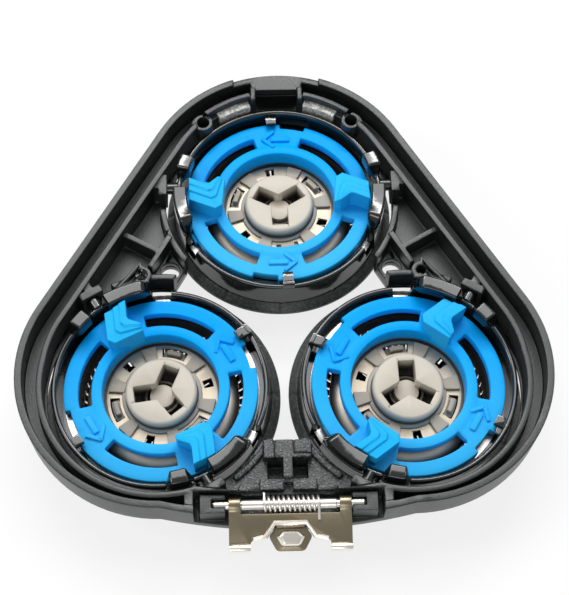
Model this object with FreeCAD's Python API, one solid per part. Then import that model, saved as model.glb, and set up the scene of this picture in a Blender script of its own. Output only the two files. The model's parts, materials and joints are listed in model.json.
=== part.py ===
"""Rotary shaver head, seen from its drive side: a black holder frame with three shaving heads.

Each head is a tilting pivot ring that carries a steel guard and a skin ring. A cutter with a drive
hub spins inside the guard, and a blue retaining ring turns to lock it in. A sprung steel plate
hangs on a pin at the frame's lower edge.
Millimetres. The heads are laid out around the middle of the three, with Z = 0 in the plane of the
retaining rings' tops. At the end everything moves so that the origin is the middle of the
footprint, on the surface that the skin side rests on. +Y points to the frame's apex, +Z to the
drive side.
"""
import FreeCAD, Part
import math
import os

V = FreeCAD.Vector
X_AXIS, Y_AXIS, Z_AXIS = V(1, 0, 0), V(0, 1, 0), V(0, 0, 1)

# How the three heads stand
HEAD_DIRECTIONS = {"top": 90.0, "left": 210.0, "right": 330.0}
HEAD_TILT = 3.06
CUTTER_PHASES = {"top": 100.0, "left": 15.0, "right": 40.0}

# Clearances between pieces that move, that run on each other, and that sit in one another
BODY_GAP = 0.3
RUNNING_GAP = 0.06
SEAT_GAP = 0.12

# Retaining ring
RING_R = 10.85
RING_BORE = 0.6 * RING_R
RING_THICK = 1.2
RING_EDGE_ROUND = 0.3
LIP_WALL = 0.65
LIP_DROP = 0.7
SLOT_R0, SLOT_R1 = 0.71 * RING_R, 0.848 * RING_R
SLOT_HALF_SPAN = 27.0
SLOT_CENTRES = (45.0, 135.0, 225.0, 315.0)
WING_SHARES = ((1.0, -0.161), (1.0, 0.088), (0.673, 0.221), (0.627, 0.194), (0.6, 0.12),
               (0.6, -0.083), (0.608, -0.147), (0.659, -0.161), (0.751, -0.078), (0.83, -0.088))
WING_OUTLINE = tuple((r * RING_R, t * RING_R) for r, t in WING_SHARES)
WING_TOP = 2.6
WING_STEP = 0.35
WING_SHRINKS = (0.0, 0.2, 0.45)
NOTCH_DEPTH = 0.6
NOTCH_START, NOTCH_SPAN = 72.0, 16.0
TAB_REACH = 0.3
TAB_START, TAB_SPAN = 202.0, 6.0
ARROW_R = (SLOT_R0 + SLOT_R1) / 2
ARROW_RISE = 0.3
ARROW_BAR_LENGTH, ARROW_BAR_WIDTH = 1.9, 0.6
ARROW_ARM_LENGTH, ARROW_ARM_WIDTH = 1.6, 0.4
ARROW_TIP, ARROW_BAR_END = 1.5, 0.6

# Guard, the sheet steel cap that touches the skin
GUARD_FACE_Z = -6.0
GUARD_SHEET = 0.3
FLANGE_REACH = 1.45
GUARD_R = RING_R - FLANGE_REACH
GUARD_CORNER = 1.1
GUARD_FLANGE_R = RING_R + 0.05
GUARD_FLANGE_Z = -RING_THICK - BODY_GAP
GUARD_HOLE_R = 1.5
OUTER_SLOTS, INNER_SLOTS = 60, 36
GUARD_SLOT_WIDTH = 0.4
OUTER_SLOT_R0 = 0.7 * GUARD_R
INNER_SLOT_R0, INNER_SLOT_R1 = 0.447 * GUARD_R, 0.617 * GUARD_R
SLOT_UP_WALL = 0.9

# Trim disc in the middle of the guard, and the pilot pin that centres the cutter
TRIM_DISC_R = 0.36 * GUARD_R
TRIM_DISC_THICK = 0.15
PILOT_R = 0.68
PILOT_LENGTH = 1.0

# Cutter, whose flat lies under the retaining ring's lip
CUTTER_FLAT_R = RING_BORE - BODY_GAP
CUTTER_FLAT_Z = -RING_THICK - LIP_DROP - BODY_GAP
CUTTER_SHEET = 0.3
SHOULDER_ROUND = 1.45
SKIRT_DROP = 0.5
BLADES = 15
BLADE_BACK, BLADE_PROUD = 0.1, 0.4
BLADE_THICK = 0.5
SQUARE_HOLE = 1.0
SQUARE_IN, SNAP_IN = 0.9, 0.3
SQUARE_R = CUTTER_FLAT_R - SQUARE_IN
SNAP_SLOT_WIDTH = 1.15
SNAP_SLOT_R1 = CUTTER_FLAT_R - SNAP_IN
SNAP_SLOT_R0 = SNAP_SLOT_R1 - SNAP_SLOT_WIDTH
SNAP_SLOT_HALF = 15.0

# Drive hub
HUB_R = 0.645 * CUTTER_FLAT_R
HUB_TOP_Z = -0.45
HUB_CHAMFER = 0.25
HUB_FOOT_PROUD = 0.5
HUB_FOOT_THICK = 0.25
STEM_IN = 0.4
STEM_R = HUB_R - STEM_IN
LOWER_DISC_THICK = 0.65
NOSE_R = 0.6 * HUB_R
NOSE_GAP = 0.5
ARM_WIDTH = 1.1
ARM_SHORT = 0.15
ARM_THICK = 0.4
HOOK_GAP_IN, HOOK_GAP_OUT = 0.2, 0.35
HOOK_HALF = 9.0
HOOK_RISE = 0.45
SOCKET_TURN = 52.0
SOCKET_WIDTH = 1.9
SOCKET_RIM = 0.95
SOCKET_R = HUB_R - SOCKET_RIM
SOCKET_DEPTH = 2.9
PIP_R0, PIP_R1 = 0.85, 0.5
PIP_BELOW_TOP = 1.3

# Pivot ring, around the retaining ring and its tab
WALL_BORE = RING_R + TAB_REACH + BODY_GAP
WALL_THICK = 0.6
WALL_R = WALL_BORE + WALL_THICK
LOW_WALL_TOP = 0.2
HIGH_WALL_TOP = 1.4
HIGH_WALL_START, HIGH_WALL_SPAN = -26.0, 232.0
LEDGE_Z = GUARD_FLANGE_Z - GUARD_SHEET
LEDGE_THICK = 0.35
SKIRT_FLARE, POST_PROUD = 0.95, 0.55
SKIRT_R = WALL_R + SKIRT_FLARE
SKIRT_Z = -3.25
SKIRT_WALL = 0.7
POST_R = WALL_R + POST_PROUD
POST_TOP = 3.0
POST_SPANS = ((155.0, 12.0), (178.0, 20.0), (13.0, 12.0), (-18.0, 20.0))
WINDOW_STARTS = (205.5, -35.5)
WINDOW_SPAN = 10.0
WINDOW_EDGE = 0.1
CLIP_STARTS = (90.5, 270.5)
CLIP_SPAN = 6.5
CLIP_OVERLAP = 0.5
CLIP_THICK = 0.6
PIVOT_OFFSET = 1.2
PIVOT_Z = 1.0
PIVOT_R = 0.7

# Skin ring, under the pivot ring's skirt
SKIN_PROUD, SKIN_BELOW_SKIRT = 0.2, 0.65
SKIN_R = SKIRT_R + SKIN_PROUD
SKIN_BORE = GUARD_R + BODY_GAP
SKIN_EDGE_Z = SKIRT_Z - SKIN_BELOW_SKIRT
SKIN_BEVEL = 0.35
SKIN_CORNER = 0.2
SKIN_ABOVE_GUARD = 0.25
SKIN_FACE_Z = GUARD_FACE_Z + SKIN_ABOVE_GUARD
SKIN_WALL = 1.2
SHELF_DEPTH = 0.35

# The heads stand this far out, so that their skin rings keep apart
SKIN_CLEARANCE = 0.613
HEAD_RADIUS = (SKIN_R + SKIN_CLEARANCE) / math.cos(math.radians(30.0))

# Holder frame: three arcs around the heads, joined by two sides and a bulge
OUTER_WALL = 0.85
CHANNEL_WIDTH = 1.75
INNER_WALL = 0.7
HEAD_BORE = POST_R + BODY_GAP
FLOOR_BORE = SKIRT_R + BODY_GAP
APEX_Y = HEAD_RADIUS
APEX_R = HEAD_BORE + INNER_WALL + CHANNEL_WIDTH + OUTER_WALL
CORNER_RAISE, CORNER_TUCK = 1.17, 0.2
CORNER_X = HEAD_RADIUS * math.cos(math.radians(30.0))
CORNER_Y = CORNER_RAISE - HEAD_RADIUS / 2
CORNER_R = APEX_R - CORNER_TUCK
BULGE = 1.6
BULGE_Y = CORNER_Y - CORNER_R - BULGE
RIM_Z = 2.5
FRAME_BOTTOM_Z = -2.0
DRAFT = 0.3
FLOOR_THICK = 0.8
CHANNEL_FLOOR_Z = -0.6
INNER_STEP = 0.3
CENTRE_EDGE, BLOCK_EDGE = 2.65, 1.45
CENTRE_CUT = HEAD_RADIUS - CENTRE_EDGE
BLOCK_CUT = HEAD_RADIUS - BLOCK_EDGE
COLLAR_WALL = 0.7
COLLAR_TOP_Z = 0.9
COLLAR_SPANS = ((186.0, 40.0), (-46.0, 40.0))

# Pivot bearings in the frame
BEARING_GAP = 0.15
BEARING_X = HEAD_BORE + BEARING_GAP
BEARING_THICK = 1.0
BEARING_HALF = 1.35
BEARING_TOP_Z = 2.1
BEARING_WEB = 1.0
WEB_REACH = 3.2

# Side pockets. A place there is (out, along): outwards past the middle opening's straight edge,
# and along that edge towards the apex. The right pocket mirrors the left one.
SIDE_DIRECTION = 150.0
RIB_THICK = 0.6
RIB_TOP_Z = 1.2
BAR_OUT = 3.15
T_RIB = ((9.2, 0.6), (BAR_OUT, 0.6))
T_BAR = ((BAR_OUT, 3.0), (BAR_OUT, -1.6))
SMALL_RIB = ((9.1, -6.4), (6.1, -8.7))
LUG_CORNERS = ((4.5, -1.4), (2.0, -3.4), (5.5, -7.5))
LUG_TOP_Z = 1.0
BOSS_CENTRE = (3.5, -2.9)
BOSS_WALL = 0.3
STAKE_R = 0.55
STAKE_HEAD_R = 0.85
STAKE_HEAD_RISE = 0.35
WINDOW_CENTRE = (1.5, 0.0)
WINDOW_R = 1.1

# Apex: lowered rim, snap tab, pocket, pads and round catches
APEX_TOP_Y = APEX_Y + APEX_R
APEX_DIP_HALF, APEX_DIP = 5.1, 0.5
SNAP_HALF = 3.05
SNAP_LENGTH = 1.3
SNAP_THICK = 0.9
POCKET_HALF = 2.5
POCKET_Y0 = APEX_Y + HEAD_BORE - 0.25
PAD_SPANS = ((59.0, 18.0), (103.0, 18.0))
PAD_GAP, PAD_WIDTH = 0.2, 1.25
PAD_TOP_Z = 0.2
CATCH_DIRECTION, CATCH_OUT = 46.5, 0.2
CATCH_R, CATCH_HOLE_R = 1.15, 0.65
CATCH_TOP_Z = 1.9

# Hinge pin, plate and spring
PIN_IN = 2.3
PIN_Y, PIN_Z = BULGE_Y + PIN_IN, 0.8
PIN_R = 0.45
PIN_HALF = 8.2
PLATE_SLOPE = 20.0
PLATE_SHEET = 0.35
PLATE_HALF = 6.5
KNUCKLE_WIDTH = 1.3
KNUCKLE_WALL = 0.35
PLATE_TOP = 1.25
PLATE_WAIST = 3.7
PLATE_FOOT = 4.95
FOOT_WIDTH = 2.3
FOOT_LIP = 0.5
WAIST_FLARE, WAIST_RISE = 0.6, 0.2
HEX_TOP, HEX_MIDDLE, HEX_END = 2.1, 3.4, 5.0
HEX_TOP_HALF, HEX_HALF = 1.6, 2.55
TONGUE_GAP = 0.25
TONGUE_ROOT = 0.3
TONGUE_DROP = 0.5
BOSS_R, BOSS_RISE, BOSS_AT = 1.15, 0.4, 3.75
SPRING_WIRE_R = 0.15
SPRING_PLAY = 0.22
SPRING_R = PIN_R + SPRING_WIRE_R + SPRING_PLAY
SPRING_X0 = -2.6
SPRING_TURNS = 11 + PLATE_SLOPE / 360.0
SPRING_PITCH = 0.52
FRAME_LEG, PLATE_LEG = 1.9, 2.2

# Block between the lower heads, and the hinge seats
PLATEAU_Z = 0.4
BLOCK_BACK = 1.2
BLOCK_Y0 = PIN_Y + BLOCK_BACK
T_HALF, T_LENGTH, T_TOP_Z = 2.6, 2.1, 1.8
T_FROM_EDGE = 0.5
T_Y1 = -BLOCK_CUT - T_FROM_EDGE
T_Y0 = T_Y1 - T_LENGTH
STEM_HALF = 0.5
STEP_HALF = 3.1
STEP_IN, STEP_WIDTH = 0.3, 1.2
STEP_Y0 = BLOCK_Y0 + STEP_IN
STEP_Y1 = STEP_Y0 + STEP_WIDTH
STEP_TOP_Z = PIN_Z + SPRING_R - SPRING_WIRE_R - SEAT_GAP
SHOULDER_HALF, SHOULDER_LENGTH, SHOULDER_TOP_Z = 5.4, 0.6, 1.0
POCKET_WALL = 0.4
HINGE_RECESS_HALF = 10.2
HINGE_LIP_Z = -0.8
SEAT_X0 = PLATE_HALF + BODY_GAP
SEAT_REACH, SEAT_RISE = 1.4, 0.65
SEAT_X1 = PIN_HALF + SEAT_REACH
SEAT_WALL = 0.6
SEAT_TOP_Z = PIN_Z + SEAT_RISE

# Face trim under the frame
TRIM_THICK = 1.0
TRIM_INSET = 0.7
TRIM_CLEARANCE, TRIM_SHIFT = 0.4, 0.2
TRIM_BORE = SKIN_R + TRIM_CLEARANCE

# A cut or a tool runs this far past the faces that it goes through
PAST = 1.0
FAR = 60.0


def polygon_face(points, z=0.0):
    """Flat face on a closed polygon of (x, y) points at height z."""
    corners = [V(x, y, z) for x, y in points]
    return Part.Face(Part.makePolygon(corners + corners[:1]))


def prism(points, z0, z1):
    """Upright prism on (x, y) points, from z0 to z1."""
    return polygon_face(points, z0).extrude(V(0, 0, z1 - z0))


def box(x0, x1, y0, y1, z0, z1):
    """Box from its two corners."""
    return Part.makeBox(x1 - x0, y1 - y0, z1 - z0, V(x0, y0, z0))


def rod(radius, z0, z1, x=0.0, y=0.0):
    """Upright round bar."""
    return Part.makeCylinder(radius, z1 - z0, V(x, y, z0))


def rod_along_x(radius, x0, x1, y=0.0, z=0.0):
    """Round bar along X."""
    return Part.makeCylinder(radius, x1 - x0, V(x0, y, z), X_AXIS)


def tube(r0, r1, z0, z1):
    """Plain ring with a square section."""
    return rod(r1, z0, z1).cut(rod(r0, z0 - PAST, z1 + PAST))


def sector(r0, r1, z0, z1, start, span):
    """Part of a plain ring, from the angle start over span degrees."""
    outer = Part.makeCylinder(r1, z1 - z0, V(0, 0, z0), Z_AXIS, span)
    inner = rod(r0, z0 - PAST, z1 + PAST)
    piece = outer.cut(inner)
    piece.rotate(V(), Z_AXIS, start)
    return piece


def turned(profile):
    """Solid turned about Z from a closed profile of (r, z) points."""
    corners = [V(r, 0, z) for r, z in profile]
    face = Part.Face(Part.makePolygon(corners + corners[:1]))
    return face.revolve(V(), Z_AXIS, 360)


def turned_edges(edges):
    """Solid turned about Z from profile edges that lie in the XZ plane."""
    return Part.Face(Part.Wire(edges)).revolve(V(), Z_AXIS, 360)


def bar_between(start, end, thickness, z0, z1):
    """Upright wall of a given thickness between two (x, y) points."""
    dx, dy = end[0] - start[0], end[1] - start[1]
    length = math.hypot(dx, dy)
    wall = box(0, length, -thickness / 2, thickness / 2, z0, z1)
    wall.rotate(V(), Z_AXIS, math.degrees(math.atan2(dy, dx)))
    wall.translate(V(start[0], start[1], 0))
    return wall


def union(shapes):
    """One shape from several that touch or overlap."""
    shapes = list(shapes)
    whole = shapes[0].fuse(shapes[1:]) if len(shapes) > 1 else shapes[0]
    return whole.removeSplitter()


def repeated(shape, count, start=0.0):
    """Copies of a shape spread evenly about Z."""
    copies = []
    for index in range(count):
        copy = shape.copy()
        copy.rotate(V(), Z_AXIS, start + 360.0 * index / count)
        copies.append(copy)
    return copies


def mirrored(shape):
    """The same shape on the other side of the YZ plane."""
    return shape.mirror(V(), X_AXIS)


def with_mirror(shapes):
    """Shapes and their mirror images."""
    return [copy for shape in shapes for copy in (shape, mirrored(shape))]


def place_head(shape, direction):
    """Tilts a shape of one head's own frame and moves it to that head's place."""
    placed = shape.copy()
    placed.rotate(V(), X_AXIS, -HEAD_TILT)
    placed.translate(V(0, HEAD_RADIUS, 0))
    placed.rotate(V(), Z_AXIS, direction - 90.0)
    return placed


def place_upright(shape, direction, shift=0.0):
    """Moves an untilted shape to a head's place, shift further out."""
    placed = shape.copy()
    placed.translate(V(0, HEAD_RADIUS + shift, 0))
    placed.rotate(V(), Z_AXIS, direction - 90.0)
    return placed


def at_every_head(shape, shift=0.0):
    """An untilted shape at all three heads."""
    return [place_upright(shape, direction, shift) for direction in HEAD_DIRECTIONS.values()]


# Retaining ring

def wing():
    """Raised chevron wing at angle 0, in three steps that grow smaller upwards."""
    middle_r = sum(r for r, _ in WING_OUTLINE) / len(WING_OUTLINE)
    middle_t = sum(t for _, t in WING_OUTLINE) / len(WING_OUTLINE)
    steps = []
    for index, shrink in enumerate(reversed(WING_SHRINKS)):
        points = [(r + (middle_r - r) * shrink, t + (middle_t - t) * shrink)
                  for r, t in WING_OUTLINE]
        steps.append(prism(points, -RING_THICK, WING_TOP - index * WING_STEP))
    return union(steps)


def arrow():
    """Raised arrow at angle 0 on the ring's top, pointing anticlockwise."""
    low, high = -PAST / 2, ARROW_RISE
    shaft = box(ARROW_R - ARROW_BAR_WIDTH / 2, ARROW_R + ARROW_BAR_WIDTH / 2,
                ARROW_BAR_END - ARROW_BAR_LENGTH, ARROW_BAR_END, low, high)
    arms = []
    for side in (-1, 1):
        reach = ARROW_ARM_LENGTH * math.sqrt(0.5)
        arms.append(bar_between((ARROW_R, ARROW_TIP), (ARROW_R + side * reach, ARROW_TIP - reach),
                                ARROW_ARM_WIDTH, low, high))
    return union([shaft] + arms)


def retaining_ring():
    """Blue ring with four arc slots, two wings, two arrows, two notches and a tab."""
    plate = tube(RING_BORE, RING_R, -RING_THICK, 0)
    rims = [edge for edge in plate.Edges
            if abs(edge.BoundBox.ZMax) < 1e-6 and abs(edge.BoundBox.XMax - RING_R) < 1e-3]
    plate = plate.makeFillet(RING_EDGE_ROUND, rims)
    lip = tube(RING_BORE, RING_BORE + LIP_WALL, -RING_THICK - LIP_DROP, -RING_THICK / 2)
    tab = sector(RING_R - PAST, RING_R + TAB_REACH, -RING_THICK, -RING_THICK / 2, TAB_START, TAB_SPAN)
    ring = union([plate, lip, tab])
    for centre in SLOT_CENTRES:
        ring = ring.cut(sector(SLOT_R0, SLOT_R1, -PAST - RING_THICK, PAST,
                               centre - SLOT_HALF_SPAN, 2 * SLOT_HALF_SPAN))
    for turn in (0.0, 180.0):
        ring = ring.cut(sector(RING_R - NOTCH_DEPTH, RING_R + PAST, -PAST - RING_THICK, PAST,
                               NOTCH_START + turn, NOTCH_SPAN))
    extras = repeated(wing(), 2) + repeated(arrow(), 2, 90.0)
    limit = tube(RING_BORE, RING_R + TAB_REACH, -FAR, FAR)
    return union([ring] + extras).common(limit)


# Guard and trim disc

def guard():
    """Sheet steel cap with a flange on top and two rings of slots in its face."""
    inner_r = GUARD_R - GUARD_SHEET
    flange_top = GUARD_FLANGE_Z
    flange_low = flange_top - GUARD_SHEET
    corner_z = GUARD_FACE_Z + GUARD_CORNER
    corner_r = GUARD_R - GUARD_CORNER
    half = math.sqrt(0.5)
    inner_corner = GUARD_CORNER - GUARD_SHEET
    face_top = GUARD_FACE_Z + GUARD_SHEET
    line = Part.LineSegment

    def at(r, z):
        return V(r, 0, z)

    outer_mid = at(corner_r + GUARD_CORNER * half, corner_z - GUARD_CORNER * half)
    inner_mid = at(corner_r + inner_corner * half, corner_z - inner_corner * half)
    edges = [
        line(at(GUARD_HOLE_R, GUARD_FACE_Z), at(corner_r, GUARD_FACE_Z)).toShape(),
        Part.Arc(at(corner_r, GUARD_FACE_Z), outer_mid, at(GUARD_R, corner_z)).toShape(),
        line(at(GUARD_R, corner_z), at(GUARD_R, flange_low)).toShape(),
        line(at(GUARD_R, flange_low), at(GUARD_FLANGE_R, flange_low)).toShape(),
        line(at(GUARD_FLANGE_R, flange_low), at(GUARD_FLANGE_R, flange_top)).toShape(),
        line(at(GUARD_FLANGE_R, flange_top), at(inner_r, flange_top)).toShape(),
        line(at(inner_r, flange_top), at(inner_r, corner_z)).toShape(),
        Part.Arc(at(inner_r, corner_z), inner_mid, at(corner_r, face_top)).toShape(),
        line(at(corner_r, face_top), at(GUARD_HOLE_R, face_top)).toShape(),
        line(at(GUARD_HOLE_R, face_top), at(GUARD_HOLE_R, GUARD_FACE_Z)).toShape(),
    ]
    cap = turned_edges(edges)
    half_width = GUARD_SLOT_WIDTH / 2
    low = GUARD_FACE_Z - PAST
    outer = box(OUTER_SLOT_R0, GUARD_R + PAST, -half_width, half_width, low, corner_z + SLOT_UP_WALL)
    inner = box(INNER_SLOT_R0, INNER_SLOT_R1, -half_width, half_width, low, face_top + PAST / 4)
    tools = repeated(outer, OUTER_SLOTS) + repeated(inner, INNER_SLOTS)
    return cap.cut(Part.makeCompound(tools))


def guard_disc():
    """Trim disc on the guard's face, with the pilot pin that the cutter turns on."""
    disc = rod(TRIM_DISC_R, GUARD_FACE_Z - TRIM_DISC_THICK, GUARD_FACE_Z)
    plug = rod(GUARD_HOLE_R, GUARD_FACE_Z - TRIM_DISC_THICK, GUARD_FACE_Z + GUARD_SHEET)
    pilot = rod(PILOT_R, GUARD_FACE_Z, GUARD_FACE_Z + GUARD_SHEET + PILOT_LENGTH)
    return union([disc, plug, pilot])


# Cutter

def cutter_blades(phase):
    """Stamped steel cutter: a flat with holes, a rolled shoulder and a ring of blades."""
    flat_low = CUTTER_FLAT_Z - CUTTER_SHEET
    round_in = SHOULDER_ROUND - CUTTER_SHEET
    centre_z = CUTTER_FLAT_Z - SHOULDER_ROUND
    half = math.sqrt(0.5)
    skirt_r = CUTTER_FLAT_R + SHOULDER_ROUND
    skirt_in = CUTTER_FLAT_R + round_in
    skirt_z = centre_z - SKIRT_DROP
    line = Part.LineSegment

    def at(r, z):
        return V(r, 0, z)

    edges = [
        line(at(STEM_R, CUTTER_FLAT_Z), at(CUTTER_FLAT_R, CUTTER_FLAT_Z)).toShape(),
        Part.Arc(at(CUTTER_FLAT_R, CUTTER_FLAT_Z),
                 at(CUTTER_FLAT_R + SHOULDER_ROUND * half, centre_z + SHOULDER_ROUND * half),
                 at(skirt_r, centre_z)).toShape(),
        line(at(skirt_r, centre_z), at(skirt_r, skirt_z)).toShape(),
        line(at(skirt_r, skirt_z), at(skirt_in, skirt_z)).toShape(),
        line(at(skirt_in, skirt_z), at(skirt_in, centre_z)).toShape(),
        Part.Arc(at(skirt_in, centre_z),
                 at(CUTTER_FLAT_R + round_in * half, centre_z + round_in * half),
                 at(CUTTER_FLAT_R, flat_low)).toShape(),
        line(at(CUTTER_FLAT_R, flat_low), at(STEM_R, flat_low)).toShape(),
        line(at(STEM_R, flat_low), at(STEM_R, CUTTER_FLAT_Z)).toShape(),
    ]
    disc = turned_edges(edges)
    hole = box(SQUARE_R - SQUARE_HOLE / 2, SQUARE_R + SQUARE_HOLE / 2,
               -SQUARE_HOLE / 2, SQUARE_HOLE / 2, flat_low - PAST / 4, CUTTER_FLAT_Z + PAST)
    slot = sector(SNAP_SLOT_R0, SNAP_SLOT_R1, flat_low - PAST / 4, CUTTER_FLAT_Z + PAST,
                  -SNAP_SLOT_HALF, 2 * SNAP_SLOT_HALF)
    disc = disc.cut(Part.makeCompound(repeated(hole, 3) + repeated(slot, 3, 60.0)))
    tip_z = GUARD_FACE_Z + GUARD_SHEET + BODY_GAP
    blade = box(CUTTER_FLAT_R + BLADE_BACK, skirt_r + BLADE_PROUD, -BLADE_THICK / 2,
                BLADE_THICK / 2, tip_z, skirt_z + CUTTER_SHEET / 2)
    whole = union([disc] + repeated(blade, BLADES))
    whole.rotate(V(), Z_AXIS, phase)
    return whole


def cutter_hub(phase):
    """Drive hub with a three-lobed socket, six spider arms and three snap hooks."""
    flat_low = CUTTER_FLAT_Z - CUTTER_SHEET
    foot_top = CUTTER_FLAT_Z + HUB_FOOT_THICK
    disc_low = flat_low - LOWER_DISC_THICK
    disc_r = SNAP_SLOT_R1 - SEAT_GAP
    foot_r = HUB_R + HUB_FOOT_PROUD
    nose_end = GUARD_FACE_Z + GUARD_SHEET + NOSE_GAP
    pilot_bore = PILOT_R + RUNNING_GAP
    pilot_top = GUARD_FACE_Z + GUARD_SHEET + PILOT_LENGTH + SEAT_GAP
    body = turned([
        (pilot_bore, nose_end), (NOSE_R, nose_end), (NOSE_R, disc_low), (disc_r, disc_low),
        (disc_r, flat_low), (STEM_R, flat_low), (STEM_R, CUTTER_FLAT_Z),
        (foot_r, CUTTER_FLAT_Z), (foot_r, foot_top), (HUB_R, foot_top),
        (HUB_R, HUB_TOP_Z - HUB_CHAMFER), (HUB_R - HUB_CHAMFER, HUB_TOP_Z), (0, HUB_TOP_Z),
        (0, pilot_top), (pilot_bore, pilot_top)])
    arm = box(0, CUTTER_FLAT_R - ARM_SHORT, -ARM_WIDTH / 2, ARM_WIDTH / 2,
              CUTTER_FLAT_Z, CUTTER_FLAT_Z + ARM_THICK)
    hook = sector(SNAP_SLOT_R0 + HOOK_GAP_IN, SNAP_SLOT_R1 - HOOK_GAP_OUT, disc_low,
                  CUTTER_FLAT_Z + HOOK_RISE, -HOOK_HALF, 2 * HOOK_HALF)
    hub = union([body] + repeated(arm, 6, 30.0) + repeated(hook, 3, 60.0))
    floor_z = HUB_TOP_Z - SOCKET_DEPTH
    lobe = box(0, SOCKET_R, -SOCKET_WIDTH / 2, SOCKET_WIDTH / 2, floor_z, HUB_TOP_Z + PAST)
    pip_top = HUB_TOP_Z - PIP_BELOW_TOP
    pip = Part.makeCone(PIP_R0, PIP_R1, pip_top - floor_z, V(0, 0, floor_z))
    socket = union(repeated(lobe, 3, SOCKET_TURN)).cut(pip)
    whole = hub.cut(socket)
    whole.rotate(V(), Z_AXIS, phase)
    return whole


# Pivot ring and skin ring

def pivot_ring():
    """Glossy ring that tilts in the frame: wall, ledge, skirt, posts, clips and pivot pins."""
    ledge_low = LEDGE_Z - LEDGE_THICK
    clip_r0 = RING_R - CLIP_OVERLAP
    shell = turned([
        (WALL_BORE, LEDGE_Z), (WALL_BORE, LOW_WALL_TOP), (WALL_R, LOW_WALL_TOP),
        (SKIRT_R, SKIRT_Z), (SKIRT_R - SKIRT_WALL, SKIRT_Z), (WALL_BORE, ledge_low),
        (GUARD_R + SEAT_GAP, ledge_low), (GUARD_R + SEAT_GAP, LEDGE_Z)])
    high_wall = sector(WALL_BORE, WALL_R, LOW_WALL_TOP - PAST, HIGH_WALL_TOP,
                       HIGH_WALL_START, HIGH_WALL_SPAN)
    posts = [sector(WALL_BORE, POST_R, LOW_WALL_TOP - 2 * PAST, POST_TOP, start, span)
             for start, span in POST_SPANS]
    clips = [sector(clip_r0, WALL_R, BODY_GAP, BODY_GAP + CLIP_THICK, start, CLIP_SPAN)
             for start in CLIP_STARTS]
    clip_stems = [sector(WALL_BORE, WALL_R, LOW_WALL_TOP - PAST, BODY_GAP + CLIP_THICK,
                         start, CLIP_SPAN) for start in CLIP_STARTS]
    pin_root, pin_end = (WALL_BORE + WALL_R) / 2, BEARING_X + BEARING_THICK - SEAT_GAP
    pins = with_mirror([rod_along_x(PIVOT_R, pin_root, pin_end, PIVOT_OFFSET, PIVOT_Z)])
    whole = union([shell, high_wall] + posts + clips + clip_stems + pins)
    windows = [sector(GUARD_FLANGE_R + WINDOW_EDGE, SKIRT_R + PAST, ledge_low - PAST / 4,
                      POST_TOP + PAST, start, WINDOW_SPAN) for start in WINDOW_STARTS]
    return whole.cut(Part.makeCompound(windows))


def skin_ring():
    """Bezel around the guard that slides on the skin."""
    step_r = SKIRT_R - SKIRT_WALL - BODY_GAP
    return turned([
        (SKIN_BORE, SKIN_FACE_Z), (SKIN_R - SKIN_BEVEL, SKIN_EDGE_Z - SKIN_BEVEL),
        (SKIN_R, SKIN_EDGE_Z), (SKIN_R, SKIRT_Z - SKIN_CORNER), (SKIN_R - SKIN_CORNER, SKIRT_Z),
        (step_r, SKIRT_Z), (step_r, SKIRT_Z - SHELF_DEPTH), (SKIN_BORE, SKIN_FACE_Z + SKIN_WALL)])


# Holder frame

def unit(angle):
    """Unit vector at an angle in degrees."""
    return V(math.cos(math.radians(angle)), math.sin(math.radians(angle)), 0)


def outline(inset, z):
    """The frame's outline moved inwards by inset: three arcs joined by two sides and a bulge."""
    apex, corner = V(0, APEX_Y, z), V(CORNER_X, CORNER_Y, z)
    apex_r, corner_r = APEX_R - inset, CORNER_R - inset
    run = corner - apex
    turn = math.degrees(math.acos((APEX_R - CORNER_R) / run.Length))
    side = math.degrees(math.atan2(run.y, run.x)) + turn
    out = unit(side)
    left = V(-out.x, out.y, 0)
    corner_left = V(-corner.x, corner.y, z)
    middle = unit((side - 90.0) / 2)
    apex_right, apex_left = apex + out * apex_r, apex + left * apex_r
    right_top, left_top = corner + out * corner_r, corner_left + left * corner_r
    right_low, left_low = corner + V(0, -corner_r, 0), corner_left + V(0, -corner_r, 0)
    right_mid = corner + middle * corner_r
    left_mid = V(-right_mid.x, right_mid.y, z)
    edges = [
        Part.Arc(apex_right, apex + V(0, apex_r, 0), apex_left),
        Part.LineSegment(apex_left, left_top),
        Part.Arc(left_top, left_mid, left_low),
        Part.Arc(left_low, V(0, BULGE_Y + inset, z), right_low),
        Part.Arc(right_low, right_mid, right_top),
        Part.LineSegment(right_top, apex_right),
    ]
    return Part.Wire([edge.toShape() for edge in edges])


def outline_prism(inset, z0, z1):
    """Upright solid on the frame's outline."""
    return Part.Face(outline(inset, z0)).extrude(V(0, 0, z1 - z0))


def frame_shell():
    """Drafted outer wall, round channel, inner wall and floor, before the head openings."""
    body = Part.makeLoft([outline(DRAFT, FRAME_BOTTOM_Z), outline(0.0, RIM_Z)], True, True)
    inner_out = OUTER_WALL + CHANNEL_WIDTH
    cavity_inset = inner_out + INNER_WALL
    floor_z = FRAME_BOTTOM_Z + FLOOR_THICK
    channel = outline_prism(OUTER_WALL, CHANNEL_FLOOR_Z, RIM_Z + PAST)
    channel = channel.cut(outline_prism(inner_out, CHANNEL_FLOOR_Z - PAST, RIM_Z + 2 * PAST))
    keep = rod(HEAD_BORE + INNER_WALL, CHANNEL_FLOOR_Z - 2 * PAST, RIM_Z + 2 * PAST)
    hinge_zone = box(-HINGE_RECESS_HALF - PAST, HINGE_RECESS_HALF + PAST, BULGE_Y - PAST, BLOCK_Y0,
                     CHANNEL_FLOOR_Z - 2 * PAST, RIM_Z + 2 * PAST)
    channel = channel.cut(Part.makeCompound(at_every_head(keep))).cut(hinge_zone)
    inner_top = outline_prism(OUTER_WALL + SEAT_GAP, RIM_Z - INNER_STEP, RIM_Z + PAST)
    cavity = outline_prism(cavity_inset, floor_z, RIM_Z + PAST)
    return body.cut(channel).cut(inner_top).cut(cavity)


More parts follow.
